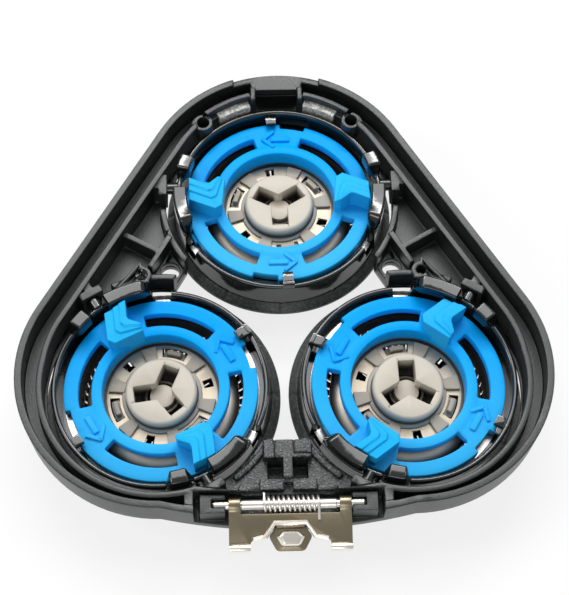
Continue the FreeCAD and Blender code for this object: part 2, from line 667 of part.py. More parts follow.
def head_openings():
    """What the frame leaves free for the three heads and between them."""
    low, high = FRAME_BOTTOM_Z - PAST, RIM_Z + 2 * PAST
    floor_z = FRAME_BOTTOM_Z + FLOOR_THICK
    bores = at_every_head(rod(HEAD_BORE, floor_z - PAST, high))
    floor_bores = at_every_head(rod(FLOOR_BORE, low, floor_z))
    return bores + floor_bores + [centre_zone(low, high)]


def centre_zone(low, high):
    """The open middle between the heads, ended by three straight edges."""
    reach = 2 * HEAD_RADIUS
    side = box(-reach, reach, -reach, CENTRE_CUT, low, high)
    sides = [side.copy(), side.copy()]
    for turn, copy in zip((60.0, -60.0), sides):
        copy.rotate(V(), Z_AXIS, turn)
    return sides[0].common(sides[1]).common(box(-reach, reach, -BLOCK_CUT, HEAD_RADIUS, low, high))


def collars():
    """Curved walls that close the side pockets towards the heads."""
    walls = [sector(FLOOR_BORE, FLOOR_BORE + COLLAR_WALL, FRAME_BOTTOM_Z, COLLAR_TOP_Z, start, span)
             for start, span in COLLAR_SPANS]
    return [place_upright(wall, direction) for wall in walls
            for direction in HEAD_DIRECTIONS.values()]


def bearings():
    """Plates with a bore for each head's two pivot pins, each on a web to the frame's wall."""
    plate = box(BEARING_X, BEARING_X + BEARING_THICK, PIVOT_OFFSET - BEARING_HALF,
                PIVOT_OFFSET + BEARING_HALF, FRAME_BOTTOM_Z, BEARING_TOP_Z)
    web = box(BEARING_X, BEARING_X + WEB_REACH, PIVOT_OFFSET - BEARING_WEB / 2,
              PIVOT_OFFSET + BEARING_WEB / 2, FRAME_BOTTOM_Z, BEARING_TOP_Z)
    return [place_upright(shape, direction) for shape in with_mirror([union([plate, web])])
            for direction in HEAD_DIRECTIONS.values()]


def bearing_bores():
    """The bores of the pivot bearings, on the tilted heads' own pin lines."""
    bore = rod_along_x(PIVOT_R + RUNNING_GAP, BEARING_X - PAST, BEARING_X + BEARING_THICK,
                       PIVOT_OFFSET, PIVOT_Z)
    return [place_head(shape, direction) for shape in with_mirror([bore])
            for direction in HEAD_DIRECTIONS.values()]


def side_place(place):
    """The (x, y) point of a place in the left side pocket."""
    point = unit(SIDE_DIRECTION) * (CENTRE_CUT + place[0]) + unit(SIDE_DIRECTION - 90.0) * place[1]
    return point.x, point.y


def side_wall(ends):
    """A rib of the left side pocket, between two places."""
    start, end = (side_place(place) for place in ends)
    return bar_between(start, end, RIB_THICK, FRAME_BOTTOM_Z, RIB_TOP_Z)


def pocket_ribs():
    """T-shaped ribs, small ribs and lugs in the two side pockets."""
    low = FRAME_BOTTOM_Z
    lug = prism([side_place(place) for place in LUG_CORNERS], low, LUG_TOP_Z)
    boss = rod(STAKE_HEAD_R + BOSS_WALL, low, LUG_TOP_Z, *side_place(BOSS_CENTRE))
    return with_mirror([side_wall(T_RIB), side_wall(T_BAR), side_wall(SMALL_RIB), lug, boss])


def pocket_holes():
    """Stake holes through the lugs, and the half-round windows by the middle opening."""
    low = FRAME_BOTTOM_Z - PAST
    stake = rod(STAKE_R, low, LUG_TOP_Z + PAST, *side_place(BOSS_CENTRE))
    return with_mirror([stake, window(low, FRAME_BOTTOM_Z + FLOOR_THICK + PAST)])


def window(low, high):
    """Round window beside the middle opening, left side."""
    return rod(WINDOW_R, low, high, *side_place(WINDOW_CENTRE))


def apex_cuts():
    """Lowered rim at the apex and the pocket behind the snap tab."""
    top = RIM_Z + PAST
    wall_y = APEX_TOP_Y - OUTER_WALL
    dip = box(-APEX_DIP_HALF, APEX_DIP_HALF, wall_y - SNAP_LENGTH, FAR, RIM_Z - APEX_DIP, top)
    pocket = box(-POCKET_HALF, POCKET_HALF, POCKET_Y0, wall_y, FRAME_BOTTOM_Z + FLOOR_THICK, top)
    return [dip, pocket]


def apex_pieces():
    """Snap tab, pocket walls, pads and catches around the top head."""
    low = FRAME_BOTTOM_Z
    snap_top = RIM_Z - APEX_DIP
    wall_y = APEX_TOP_Y - OUTER_WALL
    tab = box(-SNAP_HALF, SNAP_HALF, wall_y - SNAP_LENGTH, wall_y + OUTER_WALL / 2,
              snap_top - SNAP_THICK, snap_top)
    cheek = box(POCKET_HALF, POCKET_HALF + RIB_THICK, POCKET_Y0, wall_y - SNAP_LENGTH + BODY_GAP,
                low, RIM_Z - INNER_STEP)
    pad_r0 = HEAD_BORE + PAD_GAP
    pads = [sector(pad_r0, pad_r0 + PAD_WIDTH, low, PAD_TOP_Z, start, span)
            for start, span in PAD_SPANS]
    catch = rod(CATCH_R, low, CATCH_TOP_Z).cut(rod(CATCH_HOLE_R, low + PAST, CATCH_TOP_Z + PAST))
    catch.translate(unit(CATCH_DIRECTION) * (HEAD_BORE + CATCH_OUT))
    around_head = [place_upright(shape, HEAD_DIRECTIONS["top"]) for shape in pads + [catch]]
    return [tab, around_head[0], around_head[1]] + with_mirror([cheek, around_head[2]])


def hinge_block():
    """Stepped block between the lower heads that carries the hinge and the T-shaped rib."""
    low = FRAME_BOTTOM_Z
    half = HINGE_RECESS_HALF
    plateau = box(-half, half, BLOCK_Y0, -BLOCK_CUT, low, PLATEAU_Z)
    steps = [
        box(-T_HALF, T_HALF, T_Y0, T_Y1, low, T_TOP_Z),
        box(-STEM_HALF, STEM_HALF, STEP_Y1, T_Y0, low, T_TOP_Z),
        box(-STEP_HALF, STEP_HALF, STEP_Y0, STEP_Y1, low, STEP_TOP_Z),
        box(-SHOULDER_HALF, SHOULDER_HALF, STEP_Y0, STEP_Y0 + SHOULDER_LENGTH, low,
            SHOULDER_TOP_Z),
    ]
    pocket = box(STEM_HALF, T_HALF - POCKET_WALL, STEP_Y1, T_Y0, low + FLOOR_THICK, T_TOP_Z + PAST)
    split = box(-STEM_HALF, STEM_HALF, STEP_Y0 - PAST, STEP_Y1 - POCKET_WALL, PLATEAU_Z,
                T_TOP_Z + PAST)
    return union([plateau] + steps).cut(Part.makeCompound(with_mirror([pocket]) + [split]))


def hinge_recess():
    """The rim is cut away in front of the hinge block, down to the lip under the plate."""
    return box(-HINGE_RECESS_HALF, HINGE_RECESS_HALF, BULGE_Y - PAST, BLOCK_Y0,
               HINGE_LIP_Z, RIM_Z + PAST)


def hinge_seats():
    """Two slotted seats that hold the ends of the hinge pin."""
    slot = PIN_R + SEAT_GAP / 4
    seat = box(SEAT_X0, SEAT_X1, PIN_Y - slot - SEAT_WALL, PIN_Y + slot + SEAT_WALL,
               FRAME_BOTTOM_Z, SEAT_TOP_Z)
    bridge = box(SEAT_X0, SEAT_X1, PIN_Y, BLOCK_Y0 + PAST, FRAME_BOTTOM_Z, PLATEAU_Z)
    groove = box(SEAT_X0 - PAST, PIN_HALF + SEAT_GAP, PIN_Y - slot, PIN_Y + slot, PIN_Z, RIM_Z + PAST)
    bottom = rod_along_x(slot, SEAT_X0 - PAST, PIN_HALF + SEAT_GAP, PIN_Y, PIN_Z)
    return with_mirror([union([seat, bridge]).cut(union([groove, bottom]))])


def holder_frame():
    """The moulded frame in one piece."""
    shell = frame_shell()
    inside = outline_prism(OUTER_WALL + CHANNEL_WIDTH, FRAME_BOTTOM_Z, RIM_Z)
    additions = [shape.common(inside) for shape in collars() + bearings() + pocket_ribs()]
    frame = union([shell] + additions + [hinge_block().common(inside)])
    frame = frame.cut(Part.makeCompound(apex_cuts()))
    frame = union([frame] + apex_pieces())
    frame = frame.cut(hinge_recess()).cut(Part.makeCompound(head_openings()))
    frame = union([frame] + hinge_seats())
    return frame.cut(Part.makeCompound(bearing_bores() + pocket_holes()))


def face_trim():
    """Glossy trim on the frame's skin side, held by two stakes through the lugs."""
    top = FRAME_BOTTOM_Z
    low = top - TRIM_THICK
    plate = outline_prism(TRIM_INSET, low, top)
    openings = at_every_head(rod(TRIM_BORE, low - PAST, top + PAST), TRIM_SHIFT)
    windows = with_mirror([window(low - PAST, top + PAST)])
    middle = centre_zone(low - PAST, top + PAST)
    plate = plate.cut(Part.makeCompound(openings + windows)).cut(middle)
    stake_r = STAKE_R - SEAT_GAP / 2
    boss = side_place(BOSS_CENTRE)
    long_stake = rod(stake_r, low + TRIM_THICK / 2, LUG_TOP_Z, *boss)
    short_stake = mirrored(rod(stake_r, low + TRIM_THICK / 2, 0, *boss))
    head = Part.makeCone(STAKE_HEAD_R, STAKE_R / 2, STAKE_HEAD_RISE, V(*boss, LUG_TOP_Z))
    return union([plate, head, long_stake, short_stake])


# Hinge

def hinge_pin():
    """Steel pin in the frame's two seats."""
    return rod_along_x(PIN_R, -PIN_HALF, PIN_HALF, PIN_Y, PIN_Z)


def at_hinge(shape):
    """Moves a shape from the plate's own frame to the sloping plate's place on the pin."""
    placed = shape.copy()
    placed.rotate(V(), X_AXIS, PLATE_SLOPE)
    placed.translate(V(0, PIN_Y, PIN_Z))
    return placed


def hinge_plate():
    """Sheet steel plate with two knuckles, two curled feet and a dropped six-sided tongue."""
    knuckle_r = PIN_R + RUNNING_GAP + KNUCKLE_WALL
    top = SPRING_R - SPRING_WIRE_R - SEAT_GAP / 2
    low = top - PLATE_SHEET
    ear_in = PLATE_HALF - KNUCKLE_WIDTH
    foot_in = PLATE_HALF - FOOT_WIDTH
    flare = HEX_HALF + WAIST_FLARE
    sheet = prism([
        (-PLATE_HALF, -PLATE_FOOT), (-foot_in, -PLATE_FOOT), (-foot_in, -PLATE_WAIST),
        (-flare, -PLATE_WAIST + WAIST_RISE), (-HEX_HALF, -HEX_MIDDLE), (-HEX_TOP_HALF, -HEX_TOP),
        (HEX_TOP_HALF, -HEX_TOP), (HEX_HALF, -HEX_MIDDLE), (flare, -PLATE_WAIST + WAIST_RISE),
        (foot_in, -PLATE_WAIST), (foot_in, -PLATE_FOOT), (PLATE_HALF, -PLATE_FOOT),
        (PLATE_HALF, 0), (ear_in, 0), (ear_in, -PLATE_TOP), (-ear_in, -PLATE_TOP), (-ear_in, 0),
        (-PLATE_HALF, 0)], low, top)
    knuckle = rod_along_x(knuckle_r, ear_in, PLATE_HALF)
    lip = box(foot_in, PLATE_HALF, -PLATE_FOOT, -PLATE_FOOT + PLATE_SHEET, low, top + FOOT_LIP)
    tongue_top = top - TONGUE_DROP
    inner_top, inner = HEX_TOP_HALF - TONGUE_GAP / 2, HEX_HALF - TONGUE_GAP
    root = -HEX_TOP + TONGUE_ROOT
    tongue = prism([
        (-inner_top, root), (-inner, -HEX_MIDDLE), (-inner_top, -HEX_END),
        (inner_top, -HEX_END), (inner, -HEX_MIDDLE), (inner_top, root)],
        tongue_top - PLATE_SHEET, tongue_top)
    joggle = box(-inner_top, inner_top, -HEX_TOP, root, tongue_top - PLATE_SHEET, low)
    boss = Part.makeCone(BOSS_R, BOSS_R - BOSS_RISE, BOSS_RISE, V(0, -BOSS_AT, tongue_top))
    pieces = [sheet, tongue, joggle, boss] + with_mirror([knuckle, lip])
    plate = union(pieces)
    bore = rod_along_x(PIN_R + RUNNING_GAP, -FAR, FAR)
    dimple = Part.makeSphere(BOSS_R / 2, V(0, -BOSS_AT, tongue_top + BOSS_RISE))
    return at_hinge(plate.cut(bore).cut(dimple))


def hinge_spring():
    """Torsion spring round the pin, one leg on the frame and one on the plate."""
    length = SPRING_TURNS * SPRING_PITCH
    helix = Part.makeHelix(SPRING_PITCH, length, SPRING_R)
    section = Part.Wire(Part.makeCircle(SPRING_WIRE_R, V(SPRING_R, 0, 0), Y_AXIS))
    coil = Part.Wire(helix).makePipeShell([section], True, True)
    frame_leg = Part.makeCylinder(SPRING_WIRE_R, FRAME_LEG, V(SPRING_R, 0, 0), V(0, -1, 0))
    plate_leg = Part.makeCylinder(SPRING_WIRE_R, PLATE_LEG, V(SPRING_R, 0, length), Y_AXIS)
    plate_leg.rotate(V(), Z_AXIS, PLATE_SLOPE)
    spring = coil.fuse([frame_leg, plate_leg]).Solids[0]
    spring.rotate(V(), Y_AXIS, 90.0)
    spring.rotate(V(), X_AXIS, 180.0)
    spring.translate(V(SPRING_X0, PIN_Y, PIN_Z))
    return spring


def head_nodes():
    """Every sub-part of the three heads, by its node's name."""
    shared = {"pivot_ring": pivot_ring(), "skin_ring": skin_ring(), "guard": guard(),
              "guard_disc": guard_disc(), "retaining_ring": retaining_ring()}
    nodes = {}
    for name, direction in HEAD_DIRECTIONS.items():
        phase = CUTTER_PHASES[name]
        own = dict(shared, cutter_blades=cutter_blades(phase), cutter_hub=cutter_hub(phase))
        for part_name, shape in own.items():
            nodes[f"{part_name}_{name}"] = place_head(shape, direction)
    return nodes


def main():
    """Builds every node, moves them all to the row's origin and writes one STEP file each."""
    os.makedirs("parts", exist_ok=True)
    nodes = {"holder_frame": holder_frame(), "face_trim": face_trim(), "hinge_pin": hinge_pin(),
             "hinge_plate": hinge_plate(), "hinge_spring": hinge_spring()}
    nodes.update(head_nodes())
    extent = Part.makeCompound(list(nodes.values())).optimalBoundingBox()
    shift = V(-extent.Center.x, -extent.Center.y, -extent.ZMin)
    print("origin shift", round(shift.x, 4), round(shift.y, 4), round(shift.z, 4))
    for name, shape in nodes.items():
        shape.translate(shift)
        state = "ok" if shape.isValid() and len(shape.Solids) >= 1 else "CHECK"
        print(f"{name:24s} solids {len(shape.Solids)} volume {shape.Volume:9.2f} {state}")
        shape.exportStep(f"parts/{name}.step")


main()
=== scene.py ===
"""Rotary shaver head seen from its drive side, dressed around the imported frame.

Every class holds the sizes of one sub-assembly in millimetres and degrees and builds its pieces in
metres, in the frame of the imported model: +Z is the drive side, +Y points from the hinge plate to the
apex.
"""

import json
import logging
import math
from dataclasses import dataclass
from enum import Enum
from functools import reduce
from operator import add
from typing import Any, Iterable, Mapping, Optional, Sequence, Union

import bmesh
import bpy
import numpy as np
import numpy.typing as npt
from mathutils import Matrix, Vector

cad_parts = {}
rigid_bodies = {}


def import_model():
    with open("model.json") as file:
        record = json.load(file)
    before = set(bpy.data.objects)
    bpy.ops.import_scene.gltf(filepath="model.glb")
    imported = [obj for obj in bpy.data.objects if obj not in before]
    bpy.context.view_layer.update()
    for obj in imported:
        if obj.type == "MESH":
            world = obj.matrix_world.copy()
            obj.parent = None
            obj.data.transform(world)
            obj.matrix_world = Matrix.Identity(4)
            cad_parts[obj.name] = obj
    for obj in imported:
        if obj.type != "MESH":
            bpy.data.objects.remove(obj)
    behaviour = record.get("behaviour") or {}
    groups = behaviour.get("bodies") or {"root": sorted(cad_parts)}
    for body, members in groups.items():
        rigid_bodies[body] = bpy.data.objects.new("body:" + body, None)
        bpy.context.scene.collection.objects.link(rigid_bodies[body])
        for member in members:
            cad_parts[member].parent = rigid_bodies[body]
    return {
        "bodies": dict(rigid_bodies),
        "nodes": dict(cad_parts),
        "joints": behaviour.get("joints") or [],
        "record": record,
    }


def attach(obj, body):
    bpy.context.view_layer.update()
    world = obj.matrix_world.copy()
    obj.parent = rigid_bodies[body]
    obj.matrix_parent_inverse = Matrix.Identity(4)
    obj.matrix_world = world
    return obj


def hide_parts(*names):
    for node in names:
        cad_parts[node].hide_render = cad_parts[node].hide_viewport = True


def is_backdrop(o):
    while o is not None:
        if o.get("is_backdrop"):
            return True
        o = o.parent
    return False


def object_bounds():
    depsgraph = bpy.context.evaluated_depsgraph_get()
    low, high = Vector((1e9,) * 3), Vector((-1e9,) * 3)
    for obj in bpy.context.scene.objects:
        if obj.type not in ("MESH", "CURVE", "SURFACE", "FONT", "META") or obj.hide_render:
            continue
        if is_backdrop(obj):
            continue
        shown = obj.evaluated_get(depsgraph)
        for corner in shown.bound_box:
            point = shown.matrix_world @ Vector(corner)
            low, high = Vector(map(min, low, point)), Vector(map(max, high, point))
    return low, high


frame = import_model()

Array = npt.NDArray[np.float64]
IntArray = npt.NDArray[np.int64]
Mask = npt.NDArray[np.bool_]
Pair = tuple[float, float]
Pairs = tuple[Pair, ...]
Triple = tuple[float, float, float]
Triples = tuple[Triple, ...]
Quad = tuple[float, float, float, float]
Frame = dict[str, Any]
Material = bpy.types.Material

LOG = logging.getLogger("shaver_head")
MM = 0.001
# How far each head's cutter and hub are turned, in degrees.
HEAD_PHASES = {"top": 100.0, "left": 15.0, "right": 40.0}
# Rows that lay a shape's X, Y and Z axes along Y, Z and X.
ALONG_X = np.array([[0.0, 1.0, 0.0], [0.0, 0.0, 1.0], [1.0, 0.0, 0.0]])
TUBE_SIDES = 12
# Rows per round edge of a slab, less one.
EDGE_STEPS = 2
# Largest share of an edge that a corner's rounding takes, and least divisor at an inset's sharp turn.
CORNER_SHARE, LEAST_TURN = 0.49, 0.4
# Distances in metres within which points become one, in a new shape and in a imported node.
MERGE_NEW, MERGE_PACKED = 1e-7, 1e-6
# Angles above which an edge stays sharp, on mouldings and on sheet.
CREASE, SHEET_CREASE = 40.0, 30.0
# How far in metres from the hinge's axis, towards the heads, the frame is frosted most.
FROST_AHEAD = 0.004
WHITE = (1.0, 1.0, 1.0)


# Surfaces as arrays


@dataclass(frozen=True)
class Shape:
    """Points in millimetres, and blocks of faces with the same number of corners."""

    points: Array
    faces: tuple[IntArray, ...]

    def __add__(self, other: "Shape") -> "Shape":
        """Both shapes in one."""
        moved = tuple(faces + len(self.points) for faces in other.faces)
        return Shape(np.vstack([self.points, other.points]), self.faces + moved)

    def through(self, rows: Array, shift: Sequence[float] = (0.0, 0.0, 0.0)) -> "Shape":
        """The shape on other axes.

        Args:
            rows: 3 x 3 array whose rows are the images of the X, Y and Z axes.
            shift: The image of the origin.

        Returns:
            The shape with each point p at p times rows, plus shift.
        """
        return Shape(self.points @ rows + np.asarray(shift, float), self.faces)

    def turned(self, degrees: float) -> "Shape":
        """The shape turned anticlockwise about Z."""
        c, s = math.cos(math.radians(degrees)), math.sin(math.radians(degrees))
        return self.through(np.array([[c, s, 0.0], [-s, c, 0.0], [0.0, 0.0, 1.0]]))

    def moved(self, x: float = 0.0, y: float = 0.0, z: float = 0.0) -> "Shape":
        """The shape shifted."""
        return self.through(np.eye(3), (x, y, z))

    def with_mirror(self) -> "Shape":
        """The shape and its image beyond the YZ plane, whose faces are turned back outwards."""
        flipped = tuple(faces[:, ::-1] for faces in self.faces)
        return self + Shape(self.points * np.array([-1.0, 1.0, 1.0]), flipped)

    def repeated(self, count: int, start: float = 0.0) -> "Shape":
        """Copies of the shape spread evenly about Z, the first turned by start degrees."""
        return joined(self.turned(start + 360.0 * step / count) for step in range(count))


def joined(shapes: Iterable[Shape]) -> Shape:
    """Several shapes in one."""
    return reduce(add, shapes)


def grid(points: Array, wrap_rows: bool = False, wrap_columns: bool = True,
         caps: bool = False) -> Shape:
    """Surface through a grid of points.

    Args:
        points: rows x columns x 3 array.
        wrap_rows: Whether the last row joins the first.
        wrap_columns: Whether the last column joins the first.
        caps: Whether the first and last rows are closed by one face each.

    Returns:
        One quad between each point and its neighbours up and right.
    """
    rows, columns = points.shape[:2]
    index = np.arange(rows * columns).reshape(rows, columns)
    tall = np.vstack([index, index[:1]]) if wrap_rows else index
    wide = np.hstack([tall, tall[:, :1]]) if wrap_columns else tall
    quads = np.stack([wide[:-1, :-1], wide[:-1, 1:], wide[1:, 1:], wide[1:, :-1]], -1).reshape(-1, 4)
    ends = (index[:1, ::-1], index[-1:]) if caps else ()
    return Shape(points.reshape(-1, 3).astype(float), (quads, *ends))


def around(radius: Array, height: Array, angles: Array) -> Array:
    """Points of a surface of revolution, x = r cos a, y = r sin a, z = h.

    Args:
        radius: rows x 1 or rows x columns array of r.
        height: The same for h.
        angles: columns angles in degrees.

    Returns:
        rows x columns x 3 array.
    """
    turn = np.radians(angles)[None, :]
    r, h = np.broadcast_arrays(radius + 0 * turn, height + 0 * turn)
    return np.stack([r * np.cos(turn), r * np.sin(turn), h], -1)


def circle(columns: int) -> Array:
    """Evenly spread angles in degrees, the first at 0."""
    return np.arange(columns) * 360.0 / columns


def cells(angles: Sequence[Array]) -> tuple[Array, Array]:
    """All the angles in rising order, and the middle of the cell that follows each."""
    edges = np.unique(np.concatenate(angles))
    return edges, edges + (np.roll(edges, -1) - edges) % 360.0 / 2


def apart(angles: Array, centre: float = 0.0, pitch: float = 360.0) -> Array:
    """Degrees from each angle to the nearest one of centre and the angles whole pitches from it."""
    return np.abs((angles - centre + pitch / 2) % pitch - pitch / 2)


def lathe(profile: Array, columns: int = 96, closed: bool = True) -> Shape:
    """(r, z) profile turned about Z; one that isn't closed starts and ends on the axis."""
    return grid(around(profile[:, :1], profile[:, 1:], circle(columns)), wrap_rows=closed)


def rounded(corners: Sequence[Sequence[float]], radius: float, steps: int = 2) -> Array:
    """Closed outline with its corners rounded.

    Each corner P gives way to the curve (1-t)^2 A + 2t(1-t) P + t^2 B, where A and B lie on its
    two edges, radius away from P but never past the edges' middles.

    Args:
        corners: n points in the plane.
        radius: How far back from a corner its rounding starts.
        steps: Points per corner, less one.

    Returns:
        n * (steps + 1) points.
    """
    point = np.asarray(corners, float)
    before, after = np.roll(point, 1, 0) - point, np.roll(point, -1, 0) - point
    long_before, long_after = np.linalg.norm(before, axis=1), np.linalg.norm(after, axis=1)
    reach = np.minimum(np.minimum(long_before, long_after) * CORNER_SHARE, radius)[:, None]
    start = point + before / long_before[:, None] * reach
    end = point + after / long_after[:, None] * reach
    t = np.linspace(0.0, 1.0, steps + 1)[None, :, None]
    curve = (1 - t) ** 2 * start[:, None] + 2 * t * (1 - t) * point[:, None] + t ** 2 * end[:, None]
    return curve.reshape(-1, 2)


def inset(outline: Array, distance: float) -> Array:
    """Closed outline moved inwards.

    Each point goes along the mean of its edges' normals, far enough that the edges themselves move
    by distance.

    Args:
        outline: n x 2 points, anticlockwise.
        distance: How far the edges move.

    Returns:
        n x 2 points.
    """
    edge = np.roll(outline, -1, 0) - outline
    edge /= np.maximum(np.linalg.norm(edge, axis=1, keepdims=True), 1e-9)
    normal = np.stack([-edge[:, 1], edge[:, 0]], -1)
    earlier = np.roll(normal, 1, 0)
    share = np.maximum(1.0 + np.sum(normal * earlier, axis=1, keepdims=True), LEAST_TURN)
    return outline + distance * (normal + earlier) / share


def slab(outline: Array, low: float, high: float, edge: float = 0.0) -> Shape:
    """Plate on a closed outline with quarter-round upper and lower edges.

    Going up, the section's inset is e (1 - sin a) while its height rises by e (1 - cos a), and the
    same mirrored at the top.

    Args:
        outline: n x 2 points, anticlockwise.
        low: Lower face's height.
        high: Upper face's height.
        edge: Radius e of the round edges, 0 for sharp ones.

    Returns:
        A closed shape.
    """
    turn = np.linspace(0.0, np.pi / 2, EDGE_STEPS + 1) if edge > 0 else np.zeros(1)
    back, rise = edge * (1 - np.sin(turn)), edge * (1 - np.cos(turn))
    insets = np.concatenate([back, back[::-1]])
    heights = np.concatenate([low + rise, high - rise[::-1]])
    rows = [np.column_stack([inset(outline, gap), np.full(len(outline), z)])
            for gap, z in zip(insets, heights)]
    return grid(np.stack(rows), caps=True)


def block(x0: float, x1: float, y0: float, y1: float, z0: float, z1: float,
          edge: float = 0.0) -> Shape:
    """Box with rounded edges."""
    corners = np.array([(x0, y0), (x1, y0), (x1, y1), (x0, y1)])
    return slab(rounded(corners, edge) if edge > 0 else corners, z0, z1, edge)


def arc_block(r0: float, r1: float, z0: float, z1: float, start: float, span: float,
              edge: float = 0.08) -> Shape:
    """Part of a ring with rounded edges: an outer arc and back along an inner arc, as a slab.

    Args:
        r0: Inner radius.
        r1: Outer radius.
        z0: Lower face's height.
        z1: Upper face's height.
        start: Angle at which it starts.
        span: Angle that it covers.
        edge: Radius of the round edges.

    Returns:
        A closed shape.
    """
    turn = np.radians(np.linspace(start, start + span, max(3, int(abs(span) / 2) + 2)))
    arc = np.column_stack([np.cos(turn), np.sin(turn)])
    return slab(np.vstack([arc * r1, arc[::-1] * r0]), z0, z1, edge)


def tube_along(path: Array, radius: float, guide: Triple = (1.0, 0.0, 0.0)) -> Shape:
    """Round bar along a path that never runs along its guide.

    At each point with tangent T the section is r (cos a N + sin a B), where N is the guide made
    square to T, and B = T x N.

    Args:
        path: n x 3 points.
        radius: Radius r of the bar.
        guide: Unit direction of the guide.

    Returns:
        A closed shape.
    """
    tangent = np.gradient(path, axis=0)
    tangent /= np.linalg.norm(tangent, axis=1, keepdims=True)
    normal = np.array(guide) - (tangent @ np.array(guide))[:, None] * tangent
    normal /= np.linalg.norm(normal, axis=1, keepdims=True)
    side = np.cross(tangent, normal)
    turn = np.radians(circle(TUBE_SIDES))[None, :, None]
    ring = path[:, None] + radius * (np.cos(turn) * normal[:, None] + np.sin(turn) * side[:, None])
    return grid(ring, caps=True)


def polar_solid(outer: Array, inner: Array, angles: Array, keep: Mask) -> Shape:
    """Ring-shaped sheet with openings, between an outer and an inner surface of revolution.

    Args:
        outer: rows x 2 array of (r, z).
        inner: The same for the other surface.
        angles: columns angles in degrees, rising.
        keep: (rows - 1) x columns array, true where there is material.

    Returns:
        A closed shape.
    """
    return thick_sheet(*(around(skin[:, :1], skin[:, 1:], angles) for skin in (outer, inner)), keep)


def thick_sheet(outer: Array, inner: Array, keep: Mask) -> Shape:
    """Sheet with openings between two surfaces on the same grid, whose last column joins the first.

    Each kept cell has a face on both surfaces, and a wall stands wherever a kept cell meets an
    empty one, so a last column of empty cells leaves the sheet open there.

    Args:
        outer: rows x columns x 3 points of one surface.
        inner: The same for the other surface.
        keep: (rows - 1) x columns array, true where there is material.

    Returns:
        A closed shape.
    """
    rows, columns = outer.shape[:2]
    index = np.arange(rows * columns).reshape(rows, columns)
    ahead = np.roll(index, -1, 1)
    far = rows * columns
    face = np.stack([index[:-1], index[1:], ahead[1:], ahead[:-1]], -1)[keep]
    padded = np.pad(keep, ((1, 1), (0, 0)))
    across = padded[:-1] != padded[1:]
    row_wall = np.stack([index, ahead, ahead + far, index + far], -1)[across]
    along = keep != np.roll(keep, 1, 1)
    turn_wall = np.stack([index[:-1], index[1:], index[1:] + far, index[:-1] + far], -1)[along]
    points = np.vstack([outer.reshape(-1, 3), inner.reshape(-1, 3)])
    return Shape(points, (face, face[:, ::-1] + far, row_wall, turn_wall))


def swept_along_x(outline: Array, x0: float, x1: float, edge: float = 0.06) -> Shape:
    """Bar along X on a closed (y, z) outline, anticlockwise as seen from +X, with rounded ends."""
    return slab(outline, x0, x1, edge).through(ALONG_X)


def ribbon(path: Array, thick: float) -> Array:
    """Closed outline of a strip with an even thickness on both sides of a path in the plane.

    Args:
        path: n x 2 points.
        thick: The strip's thickness.

    Returns:
        2n x 2 points.
    """
    along = np.gradient(path, axis=0)
    along /= np.linalg.norm(along, axis=1, keepdims=True)
    side = np.stack([-along[:, 1], along[:, 0]], -1) * thick / 2
    return np.vstack([path - side, (path + side)[::-1]])


def smooth_step(value: Array, low: float, high: float) -> Array:
    """0 below low, 1 above high, and 3t^2 - 2t^3 between them."""
    t = np.clip((value - low) / (high - low), 0.0, 1.0)
    return t * t * (3.0 - 2.0 * t)


def hump(angles: Array, start: float, span: float, blend: float) -> Array:
    """1 inside a span of angles and 0 outside it, with a soft step of blend degrees at both ends."""
    offset = apart(angles, start + span / 2)
    return 1.0 - smooth_step(offset, span / 2 - blend / 2, span / 2 + blend / 2)


def humps(angles: Array, spans: Triples) -> Array:
    """1 inside any (start, span, blend) and 0 outside them all, with their soft steps."""
    return np.max([hump(angles, *span) for span in spans], axis=0)


# Pieces


class Slot(Enum):
    """The record's material slots that the pieces fill."""

    FRAME = "frame_plastic"
    GLOSS = "gloss_plastic"
    BEZEL = "bezel_plastic"
    RING = "ring_plastic"
    HUB = "hub_plastic"
    CUTTER = "cutter_steel"
    GUARD = "guard_steel"
    PIN = "pin_steel"
    PLATE = "plate_steel"


@dataclass(frozen=True)
class Rounding:
    """How a Bevel modifier rounds a piece's sharp edges: width in millimetres, angle in degrees."""

    width: float
    segments: int = 2
    angle: float = 35.0

    def apply(self, piece: bpy.types.Object) -> None:
        """Adds the modifiers, left live.

        Args:
            piece: The object to round.
        """
        bevel = piece.modifiers.new("round_edges", "BEVEL")
        bevel.width = self.width * MM
        bevel.segments = self.segments
        bevel.limit_method = "ANGLE"
        bevel.angle_limit = math.radians(self.angle)
        bevel.use_clamp_overlap = False
        bevel.miter_outer = "MITER_ARC"
        piece.modifiers.new("flat_faces", "WEIGHTED_NORMAL").keep_sharp = True


@dataclass(frozen=True)
class Look:
    """How a piece is dressed: its finish, how its sharp edges are rounded, if they are, and the
    angle above which an edge stays sharp when they aren't."""

    material: Material
    rounding: Optional[Rounding] = None
    crease: float = CREASE


@dataclass(frozen=True)
class PieceSpec:
    """Where a finished piece belongs: its name, body, material slot and the nodes it stands for."""

    name: str
    body: str
    slot: Slot
    replaces: tuple[str, ...] = ()


def mesh_from(name: str, shape: Shape) -> bpy.types.Mesh:
    """Makes a mesh in metres.

    Args:
        name: The mesh's name.
        shape: What it shows, in millimetres.

    Returns:
        The mesh.
    """
    mesh = bpy.data.meshes.new(name)
    polygons = [corners for faces in shape.faces for corners in faces.tolist()]
    mesh.from_pydata((shape.points * MM).tolist(), [], polygons)
    return mesh


def add_object(name: str, data: bpy.types.ID) -> bpy.types.Object:
    """Adds an object to the scene.

    Args:
        name: The object's name.
        data: Its mesh, lamp or camera.

    Returns:
        The object.
    """
    made = bpy.data.objects.new(name, data)
    bpy.context.scene.collection.objects.link(made)
    return made


